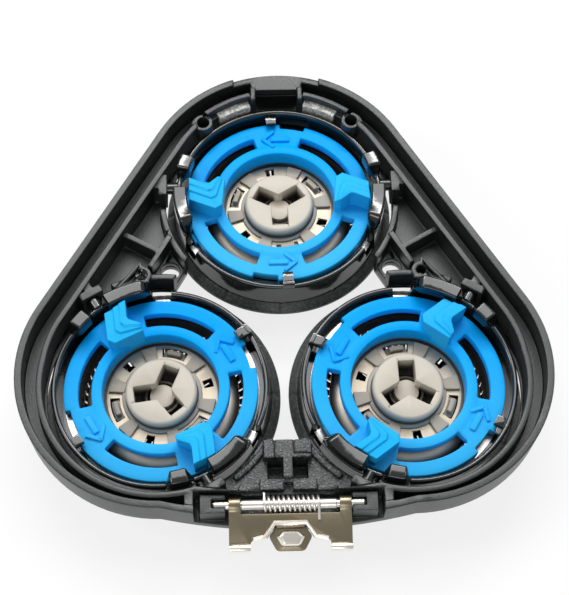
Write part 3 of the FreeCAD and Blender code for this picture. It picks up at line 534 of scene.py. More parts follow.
def tidy_mesh(mesh: bpy.types.Mesh, merge: float) -> None:
    """Merges doubles, drops loose points, and turns the faces outwards.

    Args:
        mesh: The mesh to change.
        merge: Distance in metres within which points become one.
    """
    work = bmesh.new()
    work.from_mesh(mesh)
    bmesh.ops.remove_doubles(work, verts=work.verts, dist=merge)
    loose = [vertex for vertex in work.verts if not vertex.link_faces]
    bmesh.ops.delete(work, geom=loose, context="VERTS")
    bmesh.ops.recalc_face_normals(work, faces=work.faces)
    work.to_mesh(mesh)
    work.free()


def finish_piece(mesh: bpy.types.Mesh, spec: PieceSpec, look: Look) -> None:
    """Puts a mesh in the scene, smooths and dresses it, and hangs it on its body.

    Args:
        mesh: The piece's mesh.
        spec: Where it belongs.
        look: How it is dressed.
    """
    piece = add_object(spec.name, mesh)
    mesh.materials.clear()
    mesh.materials.append(look.material)
    mesh.shade_smooth()
    if look.rounding is None:
        mesh.set_sharp_from_angle(angle=math.radians(look.crease))
    else:
        look.rounding.apply(piece)
    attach(piece, spec.body)
    if spec.replaces:
        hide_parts(*spec.replaces)
    LOG.info("%s rides on %s, %d faces", spec.name, spec.body, len(mesh.polygons))


def new_piece(shape: Shape, spec: PieceSpec, look: Look) -> None:
    """Makes a piece from a shape.

    Args:
        shape: The shape in millimetres, at its place.
        spec: Where the piece belongs.
        look: How it is dressed.
    """
    mesh = mesh_from(spec.name, shape)
    tidy_mesh(mesh, MERGE_NEW)
    finish_piece(mesh, spec, look)


def node_copy(frame: Frame, node: str, slot: Slot, look: Look, cutters: Iterable[Shape] = ()) -> None:
    """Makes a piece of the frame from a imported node's mesh: merges its triangles and carves it.

    Args:
        node: The node's name.
        slot: The piece's material slot.
        look: How it is dressed.
        cutters: Closed shapes in millimetres whose space is taken out of it.
    """
    mesh = frame["nodes"][node].data.copy()
    tidy_mesh(mesh, MERGE_PACKED)
    for cutter in cutters:
        mesh = carved(mesh, cutter)
    spec = PieceSpec(f"{node}_form", "frame", slot, (node,))
    mesh.name = spec.name
    finish_piece(mesh, spec, look)


def carved(mesh: bpy.types.Mesh, cutter: Shape) -> bpy.types.Mesh:
    """Takes a closed shape's space out of a mesh with a Boolean that is applied at once.

    Args:
        mesh: The closed mesh to cut, in metres.
        cutter: What to take out, in millimetres.

    Returns:
        A new mesh.
    """
    tool = add_object("carving_tool", mesh_from("carving_tool", cutter))
    tidy_mesh(tool.data, MERGE_NEW)
    body = add_object("carved_body", mesh)
    modifier = body.modifiers.new("carve", "BOOLEAN")
    modifier.operation, modifier.solver, modifier.object = "DIFFERENCE", "EXACT", tool
    graph = bpy.context.evaluated_depsgraph_get()
    result = bpy.data.meshes.new_from_object(body.evaluated_get(graph), depsgraph=graph)
    for item in (tool, body):
        bpy.data.objects.remove(item)
    return result


# Shader maths

Term = Union["Value", float, int, Sequence[float]]


@dataclass(frozen=True)
class Value:
    """One output socket of a node, on which Python's operators add Math nodes."""

    shader: "Shader"
    socket: bpy.types.NodeSocket

    def _math(self, operation: str, *terms: Term) -> "Value":
        """Adds a Math node on the terms."""
        return self.shader.node("ShaderNodeMath", {"operation": operation}, dict(enumerate(terms)))

    def __add__(self, other: Term) -> "Value":
        """This value plus the other."""
        return self._math("ADD", self, other)

    def __radd__(self, other: Term) -> "Value":
        """The other plus this value."""
        return self._math("ADD", other, self)

    def __sub__(self, other: Term) -> "Value":
        """This value minus the other."""
        return self._math("SUBTRACT", self, other)

    def __rsub__(self, other: Term) -> "Value":
        """The other minus this value."""
        return self._math("SUBTRACT", other, self)

    def __mul__(self, other: Term) -> "Value":
        """This value times the other."""
        return self._math("MULTIPLY", self, other)

    def __rmul__(self, other: Term) -> "Value":
        """The other times this value."""
        return self._math("MULTIPLY", other, self)

    def __truediv__(self, other: Term) -> "Value":
        """This value divided by the other."""
        return self._math("DIVIDE", self, other)

    def __rtruediv__(self, other: Term) -> "Value":
        """The other divided by this value."""
        return self._math("DIVIDE", other, self)

    def __pow__(self, other: Term) -> "Value":
        """This value to the other's power."""
        return self._math("POWER", self, other)

    def __gt__(self, other: Term) -> "Value":
        """1 where this value is greater than the other, else 0."""
        return self._math("GREATER_THAN", self, other)

    def __lt__(self, other: Term) -> "Value":
        """1 where this value is less than the other, else 0."""
        return self._math("LESS_THAN", self, other)

    def sine(self) -> "Value":
        """Sine of the value in radians."""
        return self._math("SINE", self)

    def ramp(self, low: float, high: float) -> "Value":
        """0 below low, 1 above high, and a smooth step between them."""
        return self.shader.node("ShaderNodeMapRange", {"interpolation_type": "SMOOTHSTEP"},
                                {0: self, 1: low, 2: high})


class Shader:
    """A material or a world that is built node by node."""

    def __init__(self, owner: Union[Material, bpy.types.World],
                 output: str = "ShaderNodeOutputMaterial") -> None:
        """Leaves nothing in the owner's tree but an output node.

        Args:
            owner: The new material or world.
            output: The output node's type name.
        """
        owner.use_nodes = True
        owner.node_tree.nodes.clear()
        self.owner, self.tree = owner, owner.node_tree
        self.output = self.tree.nodes.new(output)

    def node(self, kind: str, settings: Optional[Mapping[str, Any]] = None,
             inputs: Optional[Mapping[Union[int, str], Term]] = None,
             output: Union[int, str] = 0) -> Value:
        """Adds a node.

        Args:
            kind: The node's type name.
            settings: Its properties, set first.
            inputs: Values or links for its sockets, by number or name.
            output: Which output to return.

        Returns:
            That output.
        """
        made = self.tree.nodes.new(kind)
        for key, setting in (settings or {}).items():
            setattr(made, key, setting)
        for key, term in (inputs or {}).items():
            if isinstance(term, Value):
                self.tree.links.new(term.socket, made.inputs[key])
            else:
                made.inputs[key].default_value = term
        return Value(self, made.outputs[output])

    def place(self) -> Value:
        """The point's place on the object, in metres."""
        return self.node("ShaderNodeTexCoord", output="Object")

    def vector(self, operation: str, first: Term, second: Term, output: str = "Value") -> Value:
        """Adds a Vector Math node on two terms."""
        return self.node("ShaderNodeVectorMath", {"operation": operation}, {0: first, 1: second},
                         output)

    def noise(self, scale: float, detail: float = 2.0, vector: Optional[Value] = None,
              distortion: float = 0.0) -> Value:
        """Soft noise between 0 and 1.

        Args:
            scale: Features per metre.
            detail: How many finer layers it has.
            vector: Where it is read, the point's place by default.
            distortion: How far it is bent.

        Returns:
            The noise.
        """
        return self.node("ShaderNodeTexNoise", None,
                         {"Vector": vector or self.place(), "Scale": scale, "Detail": detail,
                          "Distortion": distortion})

    def mix(self, factor: Term, first: Term, second: Term) -> Value:
        """Colour between first, at factor 0, and second, at factor 1."""
        return self.node("ShaderNodeMix", {"data_type": "RGBA"}, {0: factor, 6: first, 7: second},
                         output=2)

    def bump(self, height: Value, depth: float, strength: float = 1.0) -> Value:
        """Normal from a height between 0 and 1 that stands for depth metres."""
        return self.node("ShaderNodeBump", None,
                         {"Height": height, "Distance": depth, "Strength": strength})

    def finish(self, closure: Value) -> Union[Material, bpy.types.World]:
        """Ends the owner with a shader node's output."""
        self.tree.links.new(closure.socket, self.output.inputs["Surface"])
        return self.owner

    def surface(self, **inputs: Term) -> Material:
        """Ends the material with a Principled shader; Base_Color stands for Base Color."""
        named = {key.replace("_", " "): term for key, term in inputs.items()}
        return self.finish(self.node("ShaderNodeBsdfPrincipled", None, named))


def shade(tint: Triple, factor: float = 1.0) -> Quad:
    """A tint as an opaque colour, made lighter or darker by a factor."""
    red, green, blue = (min(1.0, part * factor) for part in tint)
    return (red, green, blue, 1.0)


# Finishes


def joint_named(frame: Frame, name: str) -> Mapping[str, Any]:
    """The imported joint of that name."""
    return next(joint for joint in frame["joints"] if joint["name"] == name)


@dataclass(frozen=True)
class HeadPlace:
    """Where one head stands: its centre in millimetres and its own unit axes."""

    name: str
    centre: Array
    across: Array
    outward: Array
    up: Array

    @classmethod
    def of(cls, frame: Frame, name: str) -> "HeadPlace":
        """Reads a head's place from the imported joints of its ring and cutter.

        Args:
            name: The head's name.

        Returns:
            The place.
        """
        spin, tilt = joint_named(frame, f"spin_{name}"), joint_named(frame, f"tilt_{name}")
        up, across = np.array(spin["axis"], float), np.array(tilt["axis"], float)
        return cls(name, np.array(spin["pos_m"], float) / MM, across, np.cross(up, across), up)

    def put(self, shape: Shape) -> Shape:
        """Moves a shape from the head's own frame to its place."""
        return shape.through(np.stack([self.across, self.outward, self.up]), self.centre)

    def put_level(self, shape: Shape) -> Shape:
        """Moves a shape to the head's centre and turns it about Z only."""
        level = np.array([0.0, 0.0, 1.0])
        return shape.through(np.stack([self.across, np.cross(level, self.across), level]), self.centre)

    def along(self, shader: Shader, axis: Sequence[float]) -> Value:
        """How far in metres the shaded point lies along an axis from the head's centre."""
        offset = shader.vector("SUBTRACT", shader.place(), tuple(self.centre * MM), "Vector")
        return shader.vector("DOT_PRODUCT", offset, tuple(axis))

    def height(self, shader: Shader) -> Value:
        """Height in metres of the shaded point above the head's own plane."""
        return self.along(shader, self.up)

    def front(self, shader: Shader) -> Value:
        """How far in metres the shaded point lies in front of the head's centre."""
        return self.along(shader, (0.0, -1.0, 0.0))

    def radius(self, shader: Shader) -> Value:
        """Distance in metres from the head's axis to the shaded point."""
        x, y = self.along(shader, self.across), self.along(shader, self.outward)
        return (x * x + y * y) ** 0.5


@dataclass(frozen=True)
class MouldedPlastic:
    """Moulded plastic with a sparked grain, a faint flow shade, dust, and pointy edges painted paler,
    as rubbed wear and as a painted highlight.

    A scale is in features per metre, a range is where a noise starts and ends to tell, and a shade is a
    factor on the tint. In a head's place the plastic is painted in a second, lighter tint towards the
    front, as painted light where the light falls; and painted shade makes it darker within the well and
    in the crease round the boss, each given by two radii, its top and its floor.
    """

    name: str
    tint: Triple
    roughness: float
    specular: float = 0.5
    grain_per_m: float = 5200.0
    grain_depth: float = 1.2e-5
    grain_rough: float = 0.08
    unevenness: float = 0.18
    flow_per_m: float = 70.0
    flow_range: Pair = (0.3, 0.7)
    flow_rough: float = 0.16
    speckle: float = 0.0
    speckle_range: Pair = (0.42, 0.68)
    speckle_shade: float = 2.6
    rubbed_and_highlight: float = 0.0
    edge_range: Pair = (0.515, 0.6)
    edge_patch_per_m: float = 900.0
    edge_patch_range: Pair = (0.35, 0.65)
    worn_and_lit_shade: float = 4.0
    worn_smooth: float = 0.1
    dust: float = 0.0
    dust_per_m: float = 520.0
    dust_range: Pair = (0.03, 0.09)
    dust_tint: Triple = (0.5, 0.52, 0.5)
    dust_rough: float = 0.5
    patch_per_m: float = 160.0
    patch_range: Pair = (0.5, 0.62)
    frost: float = 0.0
    frost_reach: float = 0.008
    frost_edge: float = 0.75
    frost_depth: float = 2.5
    spark_per_m: float = 4600.0
    dark_range: Pair = (0.38, 0.5)
    dark_share: float = 0.8
    dark_shade: float = 0.3
    light_range: Pair = (0.54, 0.66)
    light_shade: float = 20.0
    well: Optional[Quad] = None
    well_shadow: float = 0.08
    crease: Optional[Quad] = None
    crease_shadow: float = 0.16
    crease_fade: float = 0.65
    front_lit_tint: Optional[Triple] = None
    front_lit_range: Pair = (-0.009, 0.010)

    def in_place(self, shader: Shader, base: Value, place: HeadPlace) -> Value:
        """Adds what depends on the place in a head: the second tint, painted light on the front, and
        the painted shade of the well and the crease.

        Args:
            shader: The material's shader.
            base: The colour so far.
            place: The head's place.

        Returns:
            The colour.
        """
        # Painted light: the front of the head takes a second, lighter tint, where the light falls.
        if self.front_lit_tint is not None:
            base = shader.mix(place.front(shader).ramp(*self.front_lit_range), base, shade(self.front_lit_tint))
        # Painted shade: darker down in the well and in the crease at the boss's foot.
        if self.well is not None and self.crease is not None:
            radius, height = place.radius(shader), place.height(shader)
            post, reach, top, floor = (size * MM for size in self.well)
            depth = (1 - height.ramp(floor, top)) * (radius < reach) * (radius > post)
            base = shader.mix(depth, base, shade(self.tint, self.well_shadow))
            side, past, top, floor = (size * MM for size in self.crease)
            depth = (1 - height.ramp(floor, top)) * (radius > side)
            base = shader.mix(depth * (1 - (radius > past) * self.crease_fade), base,
                              shade(self.tint, self.crease_shadow))
        return base

    def frosted(self, shader: Shader, base: Value, height: Value,
                centre: Triple) -> tuple[Value, Value]:
        """Makes the grain coarser and paler about a point.

        Args:
            shader: The material's shader.
            base: The colour so far.
            height: The grain's height.
            centre: The point, in metres.

        Returns:
            The colour and the grain's height.
        """
        away = shader.vector("DISTANCE", shader.place(), centre)
        near = 1 - away.ramp(self.frost_reach * self.frost_edge, self.frost_reach)
        spark = shader.noise(self.spark_per_m, 2.0)
        base = shader.mix(near * (1 - spark.ramp(*self.dark_range)) * self.dark_share, base,
                          shade(self.tint, self.dark_shade))
        base = shader.mix(near * spark.ramp(*self.light_range) * self.frost, base,
                          shade(self.tint, self.light_shade))
        return base, height + near * spark * self.frost_depth

    def material(self, frosted_at: Optional[Triple] = None,
                 place: Optional[HeadPlace] = None) -> Material:
        """Builds the material.

        Args:
            frosted_at: The point in metres about which it is frosted, if it is.
            place: The head that it is made for, if it is made for one.

        Returns:
            The material.
        """
        name = self.name if place is None else f"{self.name}_{place.name}"
        shader = Shader(bpy.data.materials.new(name))
        flow, grain = shader.noise(self.flow_per_m, 3.0), shader.noise(self.grain_per_m, 3.0)
        base = shader.mix(flow.ramp(*self.flow_range), shade(self.tint, 1 - self.unevenness),
                          shade(self.tint, 1 + self.unevenness))
        if self.speckle > 0:
            base = shader.mix(grain.ramp(*self.speckle_range) * self.speckle, base,
                              shade(self.tint, self.speckle_shade))
        rough = self.roughness + (flow - 0.5) * self.flow_rough + (grain - 0.5) * self.grain_rough
        # Pointy edges painted paler: partly rubbed wear, partly a painted highlight along the rims.
        if self.rubbed_and_highlight > 0:
            edge = shader.node("ShaderNodeNewGeometry", output="Pointiness").ramp(*self.edge_range)
            worn_and_lit = edge * shader.noise(self.edge_patch_per_m, 3.0).ramp(*self.edge_patch_range) * self.rubbed_and_highlight
            base = shader.mix(worn_and_lit, base, shade(self.tint, self.worn_and_lit_shade))
            rough = rough - worn_and_lit * self.worn_smooth
        if self.dust > 0:
            cell = shader.node("ShaderNodeTexVoronoi", {"feature": "F1"},
                               {"Vector": shader.place(), "Scale": self.dust_per_m, "Randomness": 1.0})
            patch = shader.noise(self.patch_per_m).ramp(*self.patch_range)
            speck = (1 - cell.ramp(*self.dust_range)) * patch * self.dust
            base = shader.mix(speck, base, shade(self.dust_tint))
            rough = rough + speck * self.dust_rough
        if place is not None:
            base = self.in_place(shader, base, place)
        height = grain
        if frosted_at is not None:
            base, height = self.frosted(shader, base, height, frosted_at)
        return shader.surface(Base_Color=base, Roughness=rough, Specular_IOR_Level=self.specular,
                              Normal=shader.bump(height, self.grain_depth))


@dataclass(frozen=True)
class Steel:
    """Steel with a warm cast and a few stains: what turned and drawn steel share.

    Scales, ranges and shades are those of MouldedPlastic.
    """

    name: str
    tint: Triple
    roughness: float
    line_depth: float = 2.0e-6
    line_rough: float = 0.12
    line_strength: float = 0.5
    stain: float = 0.2
    stain_per_m: float = 420.0
    stain_bend: float = 0.4
    stain_range: Pair = (0.4, 0.75)
    stain_shade: float = 0.5
    stain_rough: float = 0.14

    def stained(self, shader: Shader, lines: Value) -> tuple[Value, Value]:
        """Colour and roughness under the stains.

        Args:
            shader: The material's shader.
            lines: The height of its fine lines.

        Returns:
            The colour and the roughness.
        """
        cloud = shader.noise(self.stain_per_m, 4.0, distortion=self.stain_bend)
        base = shader.mix(cloud.ramp(*self.stain_range) * self.stain, shade(self.tint),
                          shade(self.tint, self.stain_shade))
        rough = self.roughness + (cloud - 0.5) * self.stain_rough + (lines - 0.5) * self.line_rough
        return base, rough

    def metal(self, shader: Shader, base: Value, rough: Value, lines: Value) -> Material:
        """Ends the material as metal with fine lines."""
        return shader.surface(Base_Color=base, Metallic=1.0, Roughness=rough,
                              Normal=shader.bump(lines, self.line_depth, self.line_strength))


@dataclass(frozen=True)
class DrawnSteel(Steel):
    """Plain steel, wire or sheet, with fine lines along X."""

    lines_per_m: float = 9000.0
    stretch: float = 0.06

    def material(self) -> Material:
        """Builds the material.

        Returns:
            The material.
        """
        shader = Shader(bpy.data.materials.new(self.name))
        drawn = shader.node("ShaderNodeMapping", None,
                            {"Vector": shader.place(), "Scale": (self.stretch, 1.0, 1.0)})
        lines = shader.noise(self.lines_per_m, 2.0, drawn)
        return self.metal(shader, *self.stained(shader, lines), lines)


@dataclass(frozen=True)
class TurnedSteel(Steel):
    """Steel with fine rings round a head's axis.

    Each band goes from one radius to another and has its own shade, as painted light, such as shade
    painted in a groove and a highlight painted on a shoulder. Inside gives a cup's inner radius, the
    height of its floor and how far its flange is painted dark: there the steel is painted dark as
    shade, and is rougher.
    """

    line_rough: float = 0.06
    line_strength: float = 0.6
    stain: float = 0.25
    stain_per_m: float = 240.0
    stain_bend: float = 0.6
    stain_range: Pair = (0.45, 0.75)
    stain_shade: float = 0.55
    stain_rough: float = 0.18
    rings_per_m: float = 9000.0
    wobble_per_m: float = 600.0
    wobble: float = 5.0
    painted_light_bands: Triples = ()
    inside: Optional[Triple] = None
    inside_shadow: float = 0.06
    inside_rough: float = 0.3

    def material(self, place: HeadPlace) -> Material:
        """Builds the material for one head.

        Args:
            place: The head's place.

        Returns:
            The material.
        """
        shader = Shader(bpy.data.materials.new(f"{self.name}_{place.name}"))
        radius = place.radius(shader)
        wobble = shader.noise(self.wobble_per_m, 3.0) * self.wobble
        rings = (radius * (2 * math.pi * self.rings_per_m) + wobble).sine() * 0.5 + 0.5
        base, rough = self.stained(shader, rings)
        # Painted light in bands of radius: shade painted in a groove, a highlight on a shoulder.
        for start, end, share in self.painted_light_bands:
            within = (radius > start * MM) * (radius < end * MM)
            base = shader.mix(within, base, shade(self.tint, share))
        # Painted shade inside the cup and under the flange, which are also made rougher.
        if self.inside is not None:
            reach, floor, flange = (size * MM for size in self.inside)
            height = place.height(shader)
            on_flange = (radius < flange) * (height > floor / 2)
            shadowed_and_rough = 1 - (1 - (radius < reach) * (height > floor)) * (1 - on_flange)
            base = shader.mix(shadowed_and_rough, base, shade(self.tint, self.inside_shadow))
            rough = rough + shadowed_and_rough * self.inside_rough
        return self.metal(shader, base, rough, rings)


@dataclass(frozen=True)
class Finishes:
    """Every finish of the shaver head."""

    frame: MouldedPlastic = MouldedPlastic("frame_plastic", (0.0078, 0.0102, 0.0100), 0.36,
                                           grain_depth=2.6e-5, speckle=0.6, rubbed_and_highlight=0.7, dust=0.25,
                                           specular=0.6, frost=0.6)
    # The pads' pale grey is a painted reflection of the light on the black frame's grained faces.
    pad: MouldedPlastic = MouldedPlastic("pad_plastic", (0.32, 0.325, 0.30), 0.5,
                                         grain_per_m=3000.0, grain_depth=6.0e-5, speckle=0.8)
    gloss: MouldedPlastic = MouldedPlastic("gloss_plastic", (0.005, 0.0075, 0.007), 0.11,
                                           grain_per_m=900.0, rubbed_and_highlight=0.2, dust=0.7, specular=0.75)
    bezel: MouldedPlastic = MouldedPlastic("bezel_plastic", (0.04, 0.045, 0.043), 0.42,
                                           grain_per_m=3000.0, grain_depth=5.0e-5, speckle=0.6,
                                           rubbed_and_highlight=0.3)
    # The ring's second tint paints its front lighter, as painted light.
    ring: MouldedPlastic = MouldedPlastic("ring_plastic", (0.0, 0.375, 0.95), 0.32,
                                          grain_per_m=2600.0, grain_depth=5.0e-6,
                                          unevenness=0.05, specular=0.05,
                                          front_lit_tint=(0.035, 0.46, 0.92))
    # The wings' tint is the ring's blue painted lighter, as painted light on their raised tops.
    wing: MouldedPlastic = MouldedPlastic("wing_plastic", (0.018, 0.46, 0.93), 0.32,
                                          grain_per_m=2600.0, grain_depth=5.0e-6,
                                          unevenness=0.05, specular=0.05)
    # The well and crease paint shade into the socket and round the boss's foot.
    hub: MouldedPlastic = MouldedPlastic("hub_plastic", (0.53, 0.487, 0.41), 0.42,
                                         grain_per_m=2400.0, grain_depth=8.0e-6,
                                         unevenness=0.08, well=(1.45, 3.4, -0.5, -2.7),
                                         crease=(3.95, 4.12, -0.8, -1.8))
    arms: MouldedPlastic = MouldedPlastic("arm_plastic", (0.36, 0.315, 0.25), 0.45,
                                          grain_per_m=2400.0, grain_depth=8.0e-6,
                                          unevenness=0.12)
    # The cutter's bands paint shade in the groove by the flat and a highlight on the shoulder.
    cutter: TurnedSteel = TurnedSteel("cutter_steel", (0.43, 0.375, 0.30), 0.48, stain=0.4,
                                      painted_light_bands=((6.2, 6.55, 0.3), (6.55, 9.0, 1.7)))
    # The guard is painted dark inside the cap and under its flange, as shade.
    guard: TurnedSteel = TurnedSteel("guard_steel", (0.60, 0.59, 0.57), 0.3,
                                     inside=(9.25, -5.85, 10.2))
    wire: DrawnSteel = DrawnSteel("pin_steel", (0.90, 0.87, 0.82), 0.32)
    # The edge steel is a paler copy of the plate's, a painted highlight on its rolls, bead and cap.
    edge: DrawnSteel = DrawnSteel("edge_steel", (0.92, 0.88, 0.80), 0.3)
    plate: DrawnSteel = DrawnSteel("plate_steel", (0.27, 0.23, 0.16), 0.34)


# Sub-assemblies of a head


@dataclass(frozen=True)
class PivotRing:
    """Glossy ring that tilts in the frame: a wall of changing height over a flared skirt.

    Posts, dips, windows and the high span are given by start, span and blend.
    """

    bore: float = 11.45
    wall: float = 0.6
    low_top: float = 0.2
    high_top: float = 1.4
    high_span: Triple = (-26.0, 232.0, 16.0)
    posts: Triples = ((155.0, 12.0, 4.0), (178.0, 20.0, 3.0), (189.0, 14.5, 8.0),
                      (13.0, 12.0, 4.0), (-18.0, 20.0, 3.0), (-23.5, 14.5, 8.0))
    post_top: float = 3.0
    post_proud: float = 0.3
    proud_z: Pair = (0.2, 1.0)
    post_inwards: float = 0.72
    inwards_z: Pair = (0.4, 1.2)
    dips: Triples = ((180.0, 19.0, 16.0), (-19.0, 19.0, 16.0))
    dip: float = 0.16
    windows: Triples = ((205.5, 10.0, 0.7), (-35.5, 10.0, 0.7))
    window_floor: float = -2.4
    top_round: float = 0.27
    skirt_z: float = -3.25
    skirt_levels: tuple[float, ...] = (-2.7, -2.1, -1.5, -0.9, -0.3)
    skirt_flare: float = 0.35
    flare_power: float = 1.25
    skirt_wall: float = 0.7
    ledge_z: Pair = (-2.15, -1.8)
    ledge_bore: float = 9.52
    ledge_lap: float = 0.2
    flange_edge: float = 11.0
    clip_starts: Pair = (90.5, 270.5)
    clip_span: float = 6.5
    clip_bore: float = 10.35
    clip_lap: float = 0.3
    clip_z: Pair = (0.3, 0.9)
    stem_z: float = -0.6
    pin: float = 0.7
    pin_round: float = 0.1
    pin_reach: float = 13.93
    pin_at: Pair = (1.2, 1.0)

    def wall_top(self, angles: Array) -> Array:
        """Height of the wall's top at each angle.

        Args:
            angles: Angles in degrees.

        Returns:
            Heights: low, then high over its span, the posts, their dips and the windows.
        """
        top = self.low_top + (self.high_top - self.low_top) * hump(angles, *self.high_span)
        top = top + (self.post_top - top) * humps(angles, self.posts)
        top = top - self.dip * humps(angles, self.dips)
        return top + (self.window_floor - top) * humps(angles, self.windows)

    def wall_shape(self) -> Shape:
        """Wall and skirt: a closed section with a round top, whose height and outer radius are
        functions of the angle.

        Returns:
            A closed shape.
        """
        angles = circle(720)
        post = humps(angles, self.posts)
        body_top = self.wall_top(angles)[None, :] - self.top_round
        levels = np.array([self.skirt_z, *self.skirt_levels, self.low_top])[:, None]
        climb = np.linspace(0.15, 1.0, 6)[:, None]
        above = self.low_top + np.maximum(body_top - self.low_top, 0.0) * climb
        rise = np.vstack([np.minimum(levels, body_top),
                          np.where(body_top > self.low_top, above, body_top)])
        drop = np.clip((self.low_top - rise) / (self.low_top - self.skirt_z), 0.0, 1.0)
        outside = self.bore + self.wall + self.skirt_flare * drop ** self.flare_power
        outside = outside + self.post_proud * post * smooth_step(rise, *self.proud_z)
        ledge = self.ledge_z[0]
        inside = self.bore + (self.skirt_flare + self.wall - self.skirt_wall) * np.clip(
            (ledge - rise) / (ledge - self.skirt_z), 0.0, 1.0)
        inside = inside - self.post_inwards * post * smooth_step(rise, *self.inwards_z)
        turn = np.linspace(0.0, np.pi / 2, 5)[1:, None]
        curl = self.top_round * (1 - np.cos(turn))
        cap_z = body_top + self.top_round * np.sin(turn)
        radius = np.vstack([outside, outside[-1:] - curl, (inside[-1:] + curl)[::-1], inside[::-1]])
        height = np.vstack([rise, cap_z, cap_z[::-1], rise[::-1]])
        return grid(around(radius, height, angles), wrap_rows=True)

    def ledge_shape(self) -> Shape:
        """Flat ledge under the guard's flange, cut back at the windows.

        Returns:
            A closed shape.
        """
        angles, outer = circle(360), self.bore + self.ledge_lap
        rim = outer - (outer - self.flange_edge) * humps(angles, self.windows)
        bore = np.full_like(rim, self.ledge_bore)
        low, high = self.ledge_z
        height = np.array([high, high, low, low])[:, None]
        return grid(around(np.stack([bore, rim, rim, bore]), height, angles), wrap_rows=True)

    def pins(self) -> Shape:
        """Round pivot pins along X with rounded ends.

        Returns:
            Two closed shapes.
        """
        thin, x0, x1 = self.pin - self.pin_round, self.bore + self.clip_lap, self.pin_reach
        profile = np.array([(0.0, x0), (thin, x0), (self.pin, x0 + self.pin_round),
                            (self.pin, x1 - self.pin_round), (thin, x1), (0.0, x1)])
        return lathe(profile, 32, closed=False).through(ALONG_X, (0.0, *self.pin_at)).with_mirror()

    def shape(self) -> Shape:
        """The whole ring, with its two clips on their stems and its pins.

        Returns:
            Closed shapes that run into one another.
        """
        low, high = self.clip_z
        clips = joined(arc_block(r0, r1, z0, high, start, self.clip_span)
                       for r0, r1, z0 in ((self.clip_bore, self.bore + self.clip_lap, low),
                                          (self.bore, self.bore + self.wall, self.stem_z))
                       for start in self.clip_starts)
        return self.wall_shape() + self.ledge_shape() + clips + self.pins()


@dataclass(frozen=True)
class RetainingRing:
    """Blue turn-lock ring with arc slots, stepped chevron wings, arrows and notches.

    A wing's bands are (share of the way from its hollow edge to its back, height). An arrow's bar
    and arms are given by half their width and their two ends, and its arms by where they meet and
    how far they turn.
    """

    bore: float = 6.51
    rim: float = 10.85
    more_radii: Pair = (7.1, 7.95)
    slot: Pair = (7.7, 9.2)
    slot_centres: Quad = (45.0, 135.0, 225.0, 315.0)
    slot_half: float = 27.0
    thick: float = 1.2
    band_rise: float = 0.14
    notch_depth: float = 0.6
    notches: Pairs = ((72.0, 88.0), (252.0, 268.0))
    lip_wall: float = 0.65
    lip_drop: float = 0.7
    lip_slope: float = 0.02
    lip_round: float = 0.1
    tab_reach: Pair = (-0.6, 0.3)
    tab_span: Pair = (202.0, 6.0)
    wing_hollow: Pairs = ((10.5, -1.7), (8.65, -0.85), (8.25, -0.85), (7.1, -1.8))
    wing_back: Pairs = ((10.5, 1.05), (7.45, 2.35), (6.65, 1.85), (6.3, -1.65))
    wing_bands: Pairs = ((0.0, 2.6), (0.3, 2.6), (0.33, 2.38), (0.58, 2.38), (0.61, 2.14), (1.0, 2.1))
    wing_lap: float = 0.05
    arrow_radius: float = 8.55
    arrow_bar: Triple = (0.34, -1.45, 0.8)
    arrow_arm: Triple = (0.22, -1.75, 0.12)
    arrow_arm_at: Pair = (1.7, 42.0)
    arrow_z: Pair = (-0.4, 0.3)
    arrow_round: float = 0.1

    def plate(self) -> Shape:
        """Flat ring on a grid of radius and angle, with its slots and notches left out.

        Returns:
            A closed shape.
        """
        bounds = [centre + side * self.slot_half for centre in self.slot_centres for side in (-1, 1)]
        angles, middle = cells([circle(120), np.array(bounds), np.ravel(self.notches)])
        radii = np.array([self.bore, self.more_radii[0], self.slot[0], self.more_radii[1],
                          self.slot[1], self.rim - self.notch_depth, self.rim])
        keep = np.ones((len(radii) - 1, len(angles)), bool)
        keep[2:4] = ~np.any([apart(middle, centre) < self.slot_half
                             for centre in self.slot_centres], axis=0)
        keep[5] = ~np.any([(middle > low) & (middle < high) for low, high in self.notches], axis=0)
        top = np.where(radii <= self.slot[0], self.band_rise, 0.0)
        return polar_solid(np.column_stack([radii, top]),
                           np.column_stack([radii, np.full(len(radii), -self.thick)]), angles, keep)

    def wing(self) -> Shape:
        """Chevron wing at angle 0: u runs along the chevron and v from its hollow edge to its back.

        A point is the mix (1 - v) hollow(u) + v back(u), and the height drops at each band's edge.

        Returns:
            A closed shape.
        """
        share, height = np.array(self.wing_bands).T[:, :, None]
        share = share[..., None]
        flat = (1 - share) * np.array(self.wing_hollow)[None] + share * np.array(self.wing_back)[None]
        low = np.full(flat.shape[:2], -self.thick + self.wing_lap)
        top = np.dstack([flat, np.broadcast_to(height, flat.shape[:2])])
        keep = np.ones((len(height) - 1, flat.shape[1]), bool)
        keep[:, -1] = False
        return thick_sheet(top, np.dstack([flat, low]), keep)

    def arrow(self) -> Shape:
        """Raised arrow at angle 0 that points anticlockwise: a bar and two arms.

        Returns:
            Closed shapes that run into one another.
        """
        bar, arm = (block(-half, half, y0, y1, *self.arrow_z, self.arrow_round)
                    for half, y0, y1 in (self.arrow_bar, self.arrow_arm))
        tip, turn = self.arrow_arm_at
        return bar.moved(self.arrow_radius) + (arm.turned(-turn) + arm.turned(turn)).moved(
            self.arrow_radius, tip)

    def marks(self) -> Shape:
        """The collar under the bore that runs round the cutter, the locking tab and the arrows.

        Returns:
            Closed shapes.
        """
        low, high = -self.thick - self.lip_drop, -self.thick / 2
        outer = self.bore + self.lip_wall
        lip = lathe(rounded([(self.bore, low), (outer, low), (outer, high),
                             (self.bore + self.lip_slope, high)], self.lip_round))
        tab = arc_block(*(self.rim + reach for reach in self.tab_reach), -self.thick, high,
                        *self.tab_span)
        return lip + tab + self.arrow().repeated(2, 90.0)


